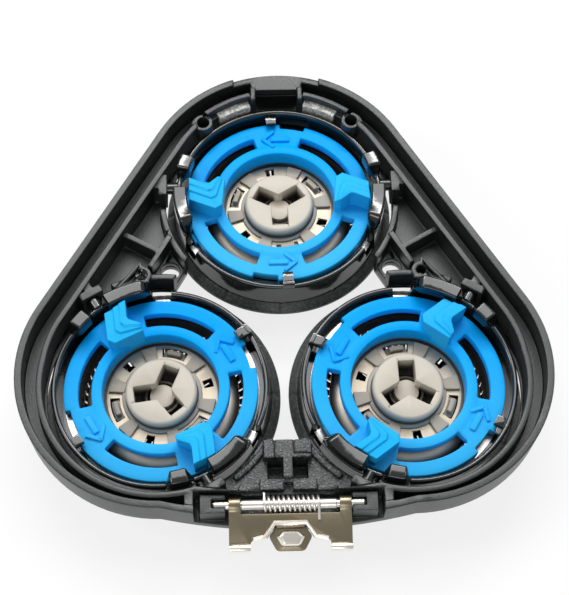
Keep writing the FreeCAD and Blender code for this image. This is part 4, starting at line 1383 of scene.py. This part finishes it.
@dataclass(frozen=True)
class Cutter:
    """Stamped steel cutter: a flat with holes, a rolled shoulder and a ring of blades.

    Three of each opening are spread evenly: the first one's angle and half its width.
    """

    stem: float = 3.6
    opening: Pair = (4.78, 5.88)
    openings: Pairs = ((0.0, 5.4), (60.0, 15.0))
    flat: float = 6.21
    flat_z: float = -2.2
    sheet: float = 0.3
    shoulder: Pair = (2.35, 1.0)
    skirt_drop: float = 1.0
    blades: int = 15
    blade_half: float = 0.25
    blade_reach: Pair = (0.1, 0.15)
    blade_round: float = 0.04
    tip_z: float = -5.4

    def profile(self, offset: float) -> Array:
        """Section from the stem to the skirt's end: the flat, a quarter of an ellipse for the
        shoulder, and the skirt.

        Args:
            offset: How far it is moved inwards.

        Returns:
            n x 2 array of (r, z).
        """
        turn = np.linspace(0.0, np.pi / 2, 11)
        wide, tall = self.shoulder
        arc_r = self.flat + (wide - offset) * np.sin(turn)
        arc_z = self.flat_z - tall + (tall - offset) * np.cos(turn)
        end = (self.flat + wide - offset, self.flat_z - tall - self.skirt_drop)
        flat_part = np.column_stack([[self.stem, *self.opening], np.full(3, self.flat_z - offset)])
        return np.vstack([flat_part, np.column_stack([arc_r, arc_z]), end])

    def shape(self) -> Shape:
        """The cutter with its blades.

        Returns:
            Closed shapes that run into one another.
        """
        bounds = [(first + turn + side * half) % 360.0 for first, half in self.openings
                  for turn in (0.0, 120.0, 240.0) for side in (-1, 1)]
        angles, middle = cells([circle(90), np.array(bounds)])
        outer, inner = self.profile(0.0), self.profile(self.sheet)
        keep = np.ones((len(outer) - 1, len(angles)), bool)
        keep[1] = ~np.any([apart(middle, first, 120.0) < half for first, half in self.openings], axis=0)
        (wide, tall), (root, lap) = self.shoulder, self.blade_reach
        blade = block(self.flat + root, self.flat + wide + lap, -self.blade_half, self.blade_half,
                      self.tip_z, self.flat_z - tall - self.skirt_drop + lap, self.blade_round)
        return polar_solid(outer, inner, angles, keep) + blade.repeated(self.blades)


@dataclass(frozen=True)
class Hub:
    """Plastic hub with a three-lobed socket, six spider arms and three snap hooks.

    The post's rows are (r, z) and an arm's outline is (x, y); the disc's bumps are given by start,
    span and blend.
    """

    radius: float = 4.0
    top_z: float = -0.45
    chamfer: float = 0.25
    foot: float = 4.5
    foot_z: float = -2.2
    foot_thick: float = 0.25
    neck: float = 3.6
    disc: float = 4.6
    disc_at_hooks: float = 5.75
    disc_z: Pair = (-3.15, -2.5)
    disc_bumps: Triples = ((47.0, 26.0, 2.0), (167.0, 26.0, 2.0), (287.0, 26.0, 2.0))
    shaft: float = 2.4
    shaft_z: float = -5.2
    socket: float = 3.05
    socket_half: float = 0.95
    socket_turn: float = 52.0
    socket_floor: float = -3.35
    post_rows: Pairs = ((0.0, -3.65), (2.0, -3.65), (2.0, -2.4), (1.95, -2.35), (1.72, -2.35),
                        (1.67, -2.4), (1.67, -3.1), (1.42, -3.1), (1.42, -2.12), (1.32, -2.02),
                        (0.0, -2.02))
    arm: Pairs = ((4.2, -0.6), (6.05, -0.9), (6.05, 0.9), (4.2, 0.6))
    arm_round: float = 0.12
    arm_z: Pair = (-2.2, -1.8)
    hook_radii: Pair = (4.96, 5.56)
    hook_z: Pair = (-3.1, -1.75)
    hook_span: Pair = (-9.0, 18.0)

    def socket_radius(self, angles: Array, corner: float) -> Array:
        """Distance to the socket's wall: d / cos(a) over a lobe's flat end and w / sin(a) along its
        sides, where a is the angle from the nearest lobe, d its reach and w its half width.

        Args:
            angles: Angles in degrees.
            corner: The angle a of a lobe's corners.

        Returns:
            The distances.
        """
        off = apart(angles, self.socket_turn, 120.0)
        turn = np.radians(np.maximum(off, 1e-6))
        return np.where(off <= corner, self.socket / np.cos(turn), self.socket_half / np.sin(turn))

    def arms(self) -> Shape:
        """Spider arms and hooks that hold the hub on the cutter.

        Returns:
            Closed shapes.
        """
        arm = slab(rounded(self.arm, self.arm_round), *self.arm_z)
        hook = arc_block(*self.hook_radii, *self.hook_z, *self.hook_span, 0.0)
        return arm.repeated(6, 30.0) + hook.repeated(3, 60.0)

    def body(self) -> Shape:
        """Turned body with its socket, and the post in the socket.

        Returns:
            Closed shapes that run into one another.
        """
        corner = math.degrees(math.atan2(self.socket_half, self.socket))
        marks = [(self.socket_turn + lobe + side) % 360.0 for lobe in (0.0, 120.0, 240.0)
                 for side in (-corner, 0.0, corner, 60.0)]
        angles, _ = cells([circle(90), np.array(marks)])
        disc = self.disc + (self.disc_at_hooks - self.disc) * humps(angles, self.disc_bumps)
        disc_low, disc_high = self.disc_z
        foot_top, socket = self.foot_z + self.foot_thick, self.socket_radius(angles, corner)
        rows = ((0.0, self.shaft_z), (self.shaft, self.shaft_z), (self.shaft, disc_low),
                (disc, disc_low), (disc, disc_high), (self.neck, disc_high), (self.neck, self.foot_z),
                (self.foot, self.foot_z), (self.foot, foot_top), (self.radius, foot_top),
                (self.radius, self.top_z - self.chamfer), (self.radius - self.chamfer, self.top_z),
                (socket, self.top_z), (socket, self.socket_floor))
        body = grid(around(np.stack([radius + 0 * angles for radius, _ in rows]),
                           np.array([height for _, height in rows])[:, None], angles), caps=True)
        return body + lathe(np.array(self.post_rows), 48, closed=False)


@dataclass(frozen=True)
class Guard:
    """Sheet steel cap with a flange and two rings of slots in its face, and its trim disc.

    A ring of slots is given by their number and half of one's width.
    """

    radius: float = 9.4
    flange: float = 10.9
    flange_z: float = -1.5
    sheet: float = 0.3
    face_z: float = -6.0
    corner: float = 1.1
    hole: float = 1.5
    slot_radii: Triple = (4.2, 5.8, 6.58)
    slots: tuple[tuple[int, float], ...] = ((60, 1.0), (36, 1.1))
    slot_up: float = 0.9
    disc: float = 3.38
    disc_thick: float = 0.15
    disc_round: Pair = (0.12, 0.07)
    pilot: float = 0.68
    pilot_rise: float = 1.3
    pilot_round: float = 0.1
    lug: Pair = (10.7, 11.75)
    lug_starts: Pair = (206.2, -34.8)
    lug_span: float = 8.6
    lug_round: float = 0.06

    def profile(self, offset: float) -> Array:
        """Section from the centre hole to the flange's rim: the face, a quarter turn, the wall and
        the flange.

        Args:
            offset: How far it is moved inwards.

        Returns:
            n x 2 array of (r, z).
        """
        turn = np.linspace(0.0, np.pi / 2, 6)
        bend, bend_z = self.corner - offset, self.face_z + self.corner
        arc = np.column_stack([self.radius - self.corner + bend * np.sin(turn),
                               bend_z - bend * np.cos(turn)])
        face = np.column_stack([[self.hole, *self.slot_radii], np.full(4, self.face_z + offset)])
        wall_r, top = self.radius - offset, self.flange_z - self.sheet + offset
        return np.vstack([face, arc, [(wall_r, bend_z + self.slot_up), (wall_r, top),
                                      (self.flange, top)]])

    def shape(self) -> Shape:
        """The slotted cap and its lugs.

        Returns:
            Closed shapes that run into one another.
        """
        bounds = [(circle(count) + side * half) % 360.0 for count, half in self.slots
                  for side in (-1, 1)]
        angles, middle = cells([np.round(bound, 6) for bound in bounds])
        outer, inner = self.profile(0.0), self.profile(self.sheet)
        keep = np.ones((len(outer) - 1, len(angles)), bool)
        keep[3:10], keep[1] = (apart(middle, 0.0, 360.0 / count) >= half for count, half in self.slots)
        lugs = joined(arc_block(*self.lug, self.flange_z - self.sheet, self.flange_z, start,
                                self.lug_span, self.lug_round) for start in self.lug_starts)
        return polar_solid(outer, inner, angles, keep) + lugs

    def disc_shape(self) -> Shape:
        """Trim disc, plug and pilot pin, turned in one.

        Returns:
            A closed shape.
        """
        low, plug = self.face_z - self.disc_thick, self.face_z + self.sheet
        tip, (back, rise) = self.face_z + self.pilot_rise, self.disc_round
        profile = [(0.0, low), (self.disc - back, low), (self.disc, low + rise),
                   (self.disc, self.face_z), (self.hole, self.face_z), (self.hole, plug),
                   (self.pilot, plug), (self.pilot, tip - self.pilot_round),
                   (self.pilot - self.pilot_round, tip), (0.0, tip)]
        return lathe(np.array(profile), 64, closed=False)


@dataclass(frozen=True)
class SkinRing:
    """Grained bezel round the guard, whose sloping shoulder holds the pivot ring's skirt."""

    bore: float = 9.7
    rim: float = 13.2
    rim_z: Pair = (-3.95, -3.5)
    rim_cut: float = 0.35
    shoulder: Pair = (12.36, -2.75)
    shoulder_flat: float = 0.2
    groove: Pair = (12.0, -3.6)
    face_z: float = -5.75
    bore_rise: float = 1.2
    edge_round: float = 0.16
    ticks: int = 12
    tick_depth: float = 0.16
    tick_edge: Pair = (0.5, 1.1)
    tick_blend: float = 0.3

    def shape(self) -> Shape:
        """Ring whose section is rounded, with a shallow dip in its shoulder at each tick.

        Returns:
            A closed shape.
        """
        angles = circle(540)
        (low, high), (top_r, top_z) = self.rim_z, self.shoulder
        section = rounded([(self.bore, self.face_z), (self.rim - self.rim_cut, low - self.rim_cut),
                           (self.rim, low), (self.rim, high), (top_r, top_z),
                           (top_r - self.shoulder_flat, top_z), self.groove,
                           (self.bore, self.face_z + self.bore_rise)], self.edge_round, 4)
        radius, level = section[:, :1], section[:, 1:]
        off = apart(angles, 0.0, 360.0 / self.ticks)
        dip = self.tick_depth * (1 - smooth_step(off, *self.tick_edge))
        share = smooth_step(level, high - self.tick_blend, high + self.tick_blend)
        return grid(around(radius, level - dip[None] * share, angles), wrap_rows=True)


@dataclass(frozen=True)
class Head:
    """One cutting head with all its pieces, its cutter and hub turned by phase."""

    place: HeadPlace
    phase: float
    pivot: PivotRing = PivotRing()
    retainer: RetainingRing = RetainingRing()
    cutter: Cutter = Cutter()
    hub: Hub = Hub()
    guard: Guard = Guard()
    skin: SkinRing = SkinRing()
    ring_rounding: Rounding = Rounding(0.14)
    wing_rounding: Rounding = Rounding(0.12, angle=25.0)
    hub_rounding: Rounding = Rounding(0.1)

    def add_piece(self, part: str, body: str, slot: Slot, shape: Shape, look: Look,
                  stands_in: bool = True) -> None:
        """Adds a piece of this head.

        Args:
            part: The piece's name without the head's.
            body: The body it rides on, without the head's name.
            slot: Its material slot.
            shape: Its shape in the head's own frame.
            look: How it is dressed.
            stands_in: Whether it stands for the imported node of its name.
        """
        node, body = f"{part}_{self.place.name}", f"{body}_{self.place.name}"
        spec = PieceSpec(f"{node}_form", body, slot, (node,) if stands_in else ())
        new_piece(self.place.put(shape), spec, look)

    def build(self, finishes: Finishes, plastics: Mapping[str, Material]) -> None:
        """Builds the head's pieces and dresses them.

        Args:
            finishes: Every finish, for the materials that are made for one head.
            plastics: The materials that the heads share, by name.
        """
        place, phase, retainer = self.place, self.phase, self.retainer
        add_piece, body, arms = self.add_piece, self.hub.body(), self.hub.arms()
        add_piece("pivot_ring", "ring", Slot.GLOSS, self.pivot.shape(), Look(plastics["gloss"]))
        add_piece("skin_ring", "ring", Slot.BEZEL, self.skin.shape(), Look(plastics["bezel"]))
        steel = finishes.guard.material(place)
        add_piece("guard", "ring", Slot.GUARD, self.guard.shape(), Look(steel, crease=SHEET_CREASE))
        add_piece("guard_disc", "ring", Slot.GUARD, self.guard.disc_shape(), Look(steel))
        blue = finishes.ring.material(place=place)
        add_piece("retaining_ring", "retainer", Slot.RING, retainer.plate(),
                  Look(blue, self.ring_rounding))
        add_piece("ring_wings", "retainer", Slot.RING, retainer.wing().repeated(2),
                  Look(plastics["wing"], self.wing_rounding), False)
        add_piece("ring_marks", "retainer", Slot.RING, retainer.marks(), Look(blue), False)
        add_piece("cutter_blades", "cutter", Slot.CUTTER, self.cutter.shape().turned(phase),
                  Look(finishes.cutter.material(place), crease=SHEET_CREASE))
        add_piece("cutter_hub", "cutter", Slot.HUB, body.turned(phase),
                  Look(finishes.hub.material(place=place), self.hub_rounding))
        add_piece("hub_arms", "cutter", Slot.HUB, arms.turned(phase),
                  Look(plastics["arms"], self.hub_rounding), False)


# Frame, trim and hinge


@dataclass(frozen=True)
class Holder:
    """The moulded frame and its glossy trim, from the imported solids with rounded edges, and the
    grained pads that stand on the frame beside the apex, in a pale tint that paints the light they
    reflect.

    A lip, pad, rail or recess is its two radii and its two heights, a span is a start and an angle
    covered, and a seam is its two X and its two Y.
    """

    frame_rounding: Rounding = Rounding(0.13, angle=30.0)
    trim_rounding: Rounding = Rounding(0.2, 3, 30.0)
    lip: Quad = (12.7, 13.5, -2.0, -1.6)
    lip_span: Pair = (12.0, 156.0)
    pad: Quad = (12.45, 13.5, -0.6, 1.4)
    pad_span: Pair = (57.5, 18.0)
    rail: Quad = (13.36, 13.95, -0.7, 2.3)
    recess: Quad = (12.3, 13.42, 1.15, 4.0)
    recess_span: Pair = (52.0, 24.5)
    pad_round: float = 0.1
    eyelet_at: Pair = (13.0, 47.5)
    eyelet_radii: Pair = (0.72, 1.12)
    eyelet_z: Pair = (-0.4, 2.05)
    bore_radius: float = 0.82
    bore_z: Pair = (-0.3, 4.0)
    seams: tuple[Quad, ...] = ((-1.46, -1.32, -17.2, -14.9), (0.65, 0.79, -16.5, -14.9),
                               (0.65, 2.7, -16.64, -16.5))
    seam_z: Pair = (1.55, 3.0)

    def at_catches(self, shape: Shape) -> Shape:
        """A shape at the places of both round catches at the pads' ends."""
        reach, turn = self.eyelet_at[0], math.radians(self.eyelet_at[1])
        return shape.moved(reach * math.cos(turn), reach * math.sin(turn)).with_mirror()

    def eyelets(self) -> Shape:
        """Round catches with an open bore.

        Returns:
            Two closed shapes.
        """
        (inner, outer), (low, high) = self.eyelet_radii, self.eyelet_z
        corners = [(inner, low), (outer, low), (outer, high), (inner, high)]
        return self.at_catches(lathe(rounded(corners, self.pad_round), 32))

    def bores(self) -> Shape:
        """The space that the catches take from the frame.

        Returns:
            Two closed shapes.
        """
        turn = np.radians(circle(32))
        outline = np.column_stack([np.cos(turn), np.sin(turn)]) * self.bore_radius
        return self.at_catches(slab(outline, *self.bore_z))

    def build(self, frame: Frame, plastics: Mapping[str, Material],
              places: Mapping[str, HeadPlace]) -> None:
        """Builds the lips round the heads, the apex head's surroundings, the frame and the trim.

        Args:
            plastics: The materials by name.
            places: The heads' places by name.
        """
        apex, origin = places["top"], np.mean([place.centre for place in places.values()], axis=0)
        lip = arc_block(*self.lip, *self.lip_span)
        pads = arc_block(*self.pad, *self.pad_span, self.pad_round).with_mirror()
        rails = arc_block(*self.rail, *self.recess_span, self.pad_round).with_mirror()
        recesses = arc_block(*self.recess, *self.recess_span, 0.0).with_mirror()
        for name, shape, finish in (
                ("opening_lips", joined(place.put_level(lip) for place in places.values()), "frame"),
                ("apex_pads", apex.put_level(pads), "pad"),
                ("apex_rails", apex.put_level(rails + self.eyelets()), "frame")):
            new_piece(shape, PieceSpec(name, "frame", Slot.FRAME), Look(plastics[finish]))
        cutters = [apex.put_level(recesses), apex.put_level(self.bores())]
        cutters += [block(*seam, *self.seam_z).moved(*origin) for seam in self.seams]
        node_copy(frame, "holder_frame", Slot.FRAME, Look(plastics["frame"], self.frame_rounding),
                  cutters)
        node_copy(frame, "face_trim", Slot.GLOSS, Look(plastics["gloss"], self.trim_rounding))


@dataclass(frozen=True)
class Hinge:
    """Steel pin, torsion spring and pressed plate at the lower edge, about the pin's middle.

    The sheet's outline is given by its right half, and the bead's path too. A bend is the angles
    between which a roll curls; an ear's path starts at its foot, and a foot's at its root. The
    joggle is a block that joins the sheet to the tongue. Rows are (scale, rise) of the tongue's
    hexagon.
    """

    pin: Pair = (0.45, 0.56)
    pin_half: float = 8.2
    pin_round: float = 0.16
    sleeve_half: float = 5.12
    sleeve_round: float = 0.06
    wire: float = 0.16
    coil: float = 0.82
    coil_x: float = -2.65
    coil_step: float = 12.0
    pitch: float = 0.53
    turns: int = 11
    slope: float = 20.0
    frame_leg: float = 1.0
    plate_leg: float = 1.7
    leg_root: float = 0.15
    leg_arc: float = 100.0
    sheet: float = 0.35
    sheet_round: Pair = (0.14, 0.09)
    top: float = 0.61
    half: float = 6.6
    play: float = 0.12
    outline: Pairs = ((0.0, -2.1), (1.65, -2.1), (2.6, -3.4), (3.2, -3.5), (3.95, -3.7), (4.3, -4.0),
                      (4.3, -4.6), (6.6, -4.6), (6.6, -0.5), (5.3, -0.5), (5.3, -0.97), (0.0, -0.97))
    ear_in: float = 5.3
    ear_roll: float = 0.71
    ear_bend: Pair = (125.0, -45.0)
    ear_foot: Pairs = ((-0.9, 0.435), (-0.7, 0.455))
    foot_in: float = 4.3
    foot_roll: float = 0.31
    foot_bend: Pair = (-90.0, -400.0)
    foot_at: Pair = (-4.6, 0.745)
    foot_root: Pair = (-4.2, 0.435)
    roll_thick: float = 0.3
    joggle: tuple[float, ...] = (-1.5, 1.5, -2.45, -1.9, -0.24, 0.53, 0.05)
    hexagon: Pairs = ((-1.506, -5.0), (1.506, -5.0), (2.36, -3.4), (1.506, -2.34), (-1.506, -2.34),
                      (-2.36, -3.4))
    hex_round: float = 0.35
    hex_centre: Pair = (0.0, -3.55)
    tongue_top: float = 0.11
    bead: float = 0.3
    bead_path: Triples = ((4.0, -3.7, 0.535), (3.2, -3.5, 0.535), (2.72, -3.4, 0.535),
                          (1.73, -1.98, 0.535))
    boss_rows: Pairs = ((1.0, -0.35), (1.0, -0.08), (0.96, 0.0), (0.72, 0.08), (0.6, 0.14),
                        (0.0, 0.14))
    cap_rows: Pairs = ((0.66, 0.0), (0.66, 0.12), (0.55, 0.5), (0.48, 0.6), (0.3, 0.64), (0.0, 0.6))

    def coil_points(self, start: float, end: float) -> Array:
        """Helix round the pin: x grows by the pitch per turn, y = -R sin a, z = R cos a.

        Args:
            start: First angle a, in degrees.
            end: Last angle a, in degrees.

        Returns:
            n x 3 points.
        """
        angle = np.radians(np.linspace(start, end, max(3, int((end - start) / self.coil_step))))
        return np.column_stack([self.coil_x + self.pitch * angle / (2 * np.pi),
                                -self.coil * np.sin(angle), self.coil * np.cos(angle)])

    def spring_parts(self) -> tuple[Shape, Shape]:
        """The torsion spring in its two bodies' parts.

        Returns:
            The coil with its leg on the frame, and the last arc with its leg on the plate.
        """
        end, slope = self.turns * 360.0 + self.slope, math.radians(self.slope)
        first = self.coil_points(0.0, end - self.leg_arc)
        last = self.coil_points(end - self.leg_arc, end)
        leg_in = first[0] + np.linspace(self.frame_leg, self.leg_root, 6)[:, None] * np.array(
            [0.0, 1.0, 0.0])
        leg_out = last[-1] + np.linspace(self.leg_root, self.plate_leg, 6)[:, None] * np.array(
            [0.0, -math.cos(slope), -math.sin(slope)])
        return (tube_along(np.vstack([leg_in, first]), self.wire),
                tube_along(np.vstack([last, leg_out]), self.wire))

    def pin_shape(self) -> Shape:
        """Turned pin, thicker between the plate's ears: an (r, x) profile turned about X.

        Returns:
            A closed shape.
        """
        (thin, thick), end, step = self.pin, self.pin_round, self.sleeve_round
        side = np.array([(0.0, self.pin_half), (thin - end, self.pin_half), (thin, self.pin_half - end),
                         (thin, self.sleeve_half), (thick - step, self.sleeve_half),
                         (thick, self.sleeve_half - step)])
        profile = np.vstack([side, side[::-1] * np.array([1.0, -1.0])])
        return lathe(profile, 40, closed=False).through(ALONG_X)

    def hex_rings(self, rows: Pairs) -> Shape:
        """Closed surface through scaled copies of the tongue's six-sided outline.

        Args:
            rows: (scale, rise) of each copy.

        Returns:
            A closed shape.
        """
        outline, centre = rounded(self.hexagon, self.hex_round, 3), np.array(self.hex_centre)
        rings = [np.column_stack([centre + (outline - centre) * share,
                                  np.full(len(outline), self.tongue_top + rise)])
                 for share, rise in rows]
        return grid(np.stack(rings), caps=True)

    def rolled(self, path: Array, x0: float) -> Shape:
        """Rolled strips of sheet on both sides, from x0 outwards, along a (y, z) path."""
        return swept_along_x(ribbon(path, self.roll_thick), x0, self.half).with_mirror()

    def plate_shape(self) -> Shape:
        """Sheet with a brow, two feet and a waist, rolled ears, and a dropped tongue whose rings of
        the same outline rise to a flat boss.

        Returns:
            Closed shapes that run into one another.
        """
        left = tuple((-x, y) for x, y in self.outline[-2:0:-1])
        corner, edge = self.sheet_round
        sheet = slab(rounded(self.outline + left, corner), self.top - self.sheet, self.top, edge)
        bend = np.radians(np.linspace(*self.ear_bend, 16))
        roll = np.column_stack([np.cos(bend), np.sin(bend)]) * self.ear_roll
        ears = self.rolled(np.vstack([self.ear_foot, roll])[::-1], self.ear_in)
        return joined([sheet, ears, self.hex_rings(self.boss_rows), block(*self.joggle)])

    def edge_shape(self) -> Shape:
        """Edges of the plate, in a paler steel that paints their highlight: its rolled lips, the bead
        over its window and the boss's cap.

        Returns:
            Closed shapes.
        """
        curl = np.radians(np.linspace(*self.foot_bend, 26))
        roll = np.column_stack([np.cos(curl), np.sin(curl)]) * self.foot_roll + self.foot_at
        lips = self.rolled(np.vstack([self.foot_root, roll]), self.foot_in)
        right = np.array(self.bead_path)
        path = np.vstack([right, right[::-1] * np.array([-1.0, 1.0, 1.0])])
        return lips + tube_along(path, self.bead, (0.0, 0.0, 1.0)) + self.hex_rings(self.cap_rows)

    def build(self, frame: Frame, finishes: Finishes) -> None:
        """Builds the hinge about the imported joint's axis.

        Args:
            finishes: Every finish.
        """
        centre = np.array(joint_named(frame, "plate_hinge")["pos_m"], float) / MM
        c, s = math.cos(math.radians(self.slope)), math.sin(math.radians(self.slope))
        sloped = np.array([[1.0, 0.0, 0.0], [0.0, c, s], [0.0, -s, c]])
        wire, (coil, leg) = Look(finishes.wire.material()), self.spring_parts()
        for shape, name, body, replaces in (
                (self.pin_shape(), "hinge_pin_form", "frame", ("hinge_pin",)),
                (coil, "hinge_spring_coil", "frame", ("hinge_spring",)),
                (leg, "hinge_spring_leg", "plate", ())):
            new_piece(shape.moved(*centre), PieceSpec(name, body, Slot.PIN, replaces), wire)
        # The plate's edges take the paler edge steel, a painted highlight.
        for shape, name, replaces, finish in (
                (self.plate_shape(), "hinge_plate_form", ("hinge_plate",), finishes.plate),
                (self.edge_shape(), "hinge_plate_edges", (), finishes.edge)):
            new_piece(shape.through(sloped, centre + np.array([self.play, 0.0, 0.0])),
                      PieceSpec(name, "plate", Slot.PLATE, replaces),
                      Look(finish.material(), crease=SHEET_CREASE))


# Studio


@dataclass(frozen=True)
class Lamp:
    """Soft rectangular lamp that looks at the origin: its size and place in metres, its power in
    watts."""

    name: str
    size: Pair
    power: float
    place: Triple

    def build(self) -> None:
        """Adds the lamp to the scene."""
        data = bpy.data.lights.new(self.name, "AREA")
        data.shape = "RECTANGLE"
        data.size, data.size_y = self.size
        data.energy = self.power
        lamp = add_object(self.name, data)
        lamp.location = self.place
        lamp.rotation_euler = (-Vector(self.place)).to_track_quat("-Z", "Y").to_euler()


@dataclass(frozen=True)
class Studio:
    """Pale floor, soft lamps and a camera at the photograph's angle, in the heads' own frame."""

    pitch: float = 63.12
    yaw: float = 3.34
    roll: float = 1.88
    distance: float = 200.23
    focal: float = 1756.0
    frame_size: tuple[int, int] = (569, 595)
    target: Triple = (0.2665, 3.1115, 0.0)
    sensor: float = 36.0
    clip: Pair = (0.01, 10.0)
    floor_half: float = 900.0
    floor_shade: float = 0.95
    floor_glow: float = 0.8
    world_strength: float = 0.24
    world_gloss: float = 0.3
    lamps: tuple[Lamp, ...] = (Lamp("far_window", (0.5, 0.3), 1.8, (-0.02, 0.27, 0.48)),
                               Lamp("rim_strip", (0.5, 0.035), 1.0, (0.0, 0.36, 0.42)),
                               Lamp("left_softbox", (0.1, 0.35), 0.7, (-0.46, 0.06, 0.34)),
                               Lamp("right_strip", (0.06, 0.4), 0.3, (0.46, 0.1, 0.3)),
                               Lamp("front_fill", (0.35, 0.12), 0.55, (-0.12, -0.42, 0.26)))

    def axes(self) -> tuple[Array, Array, Array]:
        """The camera's directions.

        Returns:
            Its right, up and forward directions.
        """
        pitch, yaw, roll = (math.radians(angle) for angle in (self.pitch, self.yaw, self.roll))
        forward = np.array([math.sin(yaw) * math.cos(pitch), math.cos(yaw) * math.cos(pitch),
                            -math.sin(pitch)])
        flat = np.array([math.cos(yaw), -math.sin(yaw), 0.0])
        top = np.cross(flat, forward)
        right = math.cos(roll) * flat + math.sin(roll) * top
        return right, math.cos(roll) * top - math.sin(roll) * flat, forward

    def add_camera(self, origin: Array) -> None:
        """Adds the camera.

        Args:
            origin: The heads' own origin in millimetres.
        """
        right, up, forward = self.axes()
        eye = origin + np.array(self.target) - forward * self.distance
        data = bpy.data.cameras.new("camera")
        data.sensor_fit = "AUTO"
        data.sensor_width = self.sensor
        data.lens = self.focal * self.sensor / max(self.frame_size)
        data.clip_start, data.clip_end = self.clip
        camera = add_object("camera", data)
        camera.matrix_world = Matrix([*zip(right, up, -forward, eye * MM), (0.0, 0.0, 0.0, 1.0)])
        bpy.context.scene.camera = camera

    def add_floor(self, height: float) -> None:
        """Adds a wide pale floor that shows as white but keeps the shadow.

        Args:
            height: The floor's height in millimetres.
        """
        x, y = np.meshgrid(*[np.array([-1.0, 1.0]) * self.floor_half] * 2)
        flat = grid(np.stack([x, y, np.full_like(x, height)], -1), wrap_columns=False)
        floor = add_object("floor", mesh_from("floor", flat))
        shader = Shader(bpy.data.materials.new("floor_white"))
        seen = sum((shader.node("ShaderNodeLightPath", output=f"Is {ray} Ray")
                    for ray in ("Camera", "Glossy", "Transmission")), 0.0)
        plain = shader.node("ShaderNodeBsdfDiffuse", None, {"Color": shade(WHITE, self.floor_shade)})
        bright = shader.node("ShaderNodeEmission", None, {"Color": shade(WHITE)})
        front = shader.node("ShaderNodeMixShader", None,
                            {0: seen * self.floor_glow, 1: plain, 2: bright})
        clear = shader.node("ShaderNodeBsdfTransparent")
        from_below = shader.node("ShaderNodeNewGeometry", output="Backfacing")
        floor.data.materials.append(shader.finish(
            shader.node("ShaderNodeMixShader", None, {0: from_below, 1: front, 2: clear})))
        floor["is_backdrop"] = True

    def add_world(self) -> None:
        """White world: even light, more for glossy rays, and plain white where the camera sees it."""
        sky = Shader(bpy.data.worlds.new("studio_world"), "ShaderNodeOutputWorld")
        glossy, camera = (sky.node("ShaderNodeLightPath", output=f"Is {ray} Ray")
                          for ray in ("Glossy", "Camera"))
        strength = sky.node("ShaderNodeMapRange", None,
                            {"Value": glossy * self.world_gloss + camera,
                             "To Min": self.world_strength, "To Max": 1.0})
        light = sky.node("ShaderNodeBackground", None, {"Color": shade(WHITE), "Strength": strength})
        bpy.context.scene.world = sky.finish(light)

    def build(self, origin: Array, floor_z: float) -> None:
        """Builds the whole studio.

        Args:
            origin: The heads' own origin in millimetres.
            floor_z: The floor's height in millimetres.
        """
        bpy.context.scene.view_settings.view_transform = "Standard"
        self.add_camera(origin)
        self.add_floor(floor_z)
        self.add_world()
        for lamp in self.lamps:
            lamp.build()


def main() -> None:
    """Builds every sub-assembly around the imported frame."""
    logging.basicConfig(level=logging.INFO, format="%(message)s")
    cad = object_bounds()
    finishes = Finishes()
    plastics = {name: getattr(finishes, name).material()
                for name in ("pad", "gloss", "bezel", "wing", "arms")}
    _, hinge_y, hinge_z = joint_named(frame, "plate_hinge")["pos_m"]
    plastics["frame"] = finishes.frame.material((0.0, hinge_y + FROST_AHEAD, hinge_z))
    places = {name: HeadPlace.of(frame, name) for name in HEAD_PHASES}
    Holder().build(frame, plastics, places)
    for name, place in places.items():
        Head(place, HEAD_PHASES[name]).build(finishes, plastics)
    Hinge().build(frame, finishes)
    origin = np.mean([place.centre for place in places.values()], axis=0)
    Studio().build(origin, cad[0][2] / MM)


if __name__ == "__main__":
    main()
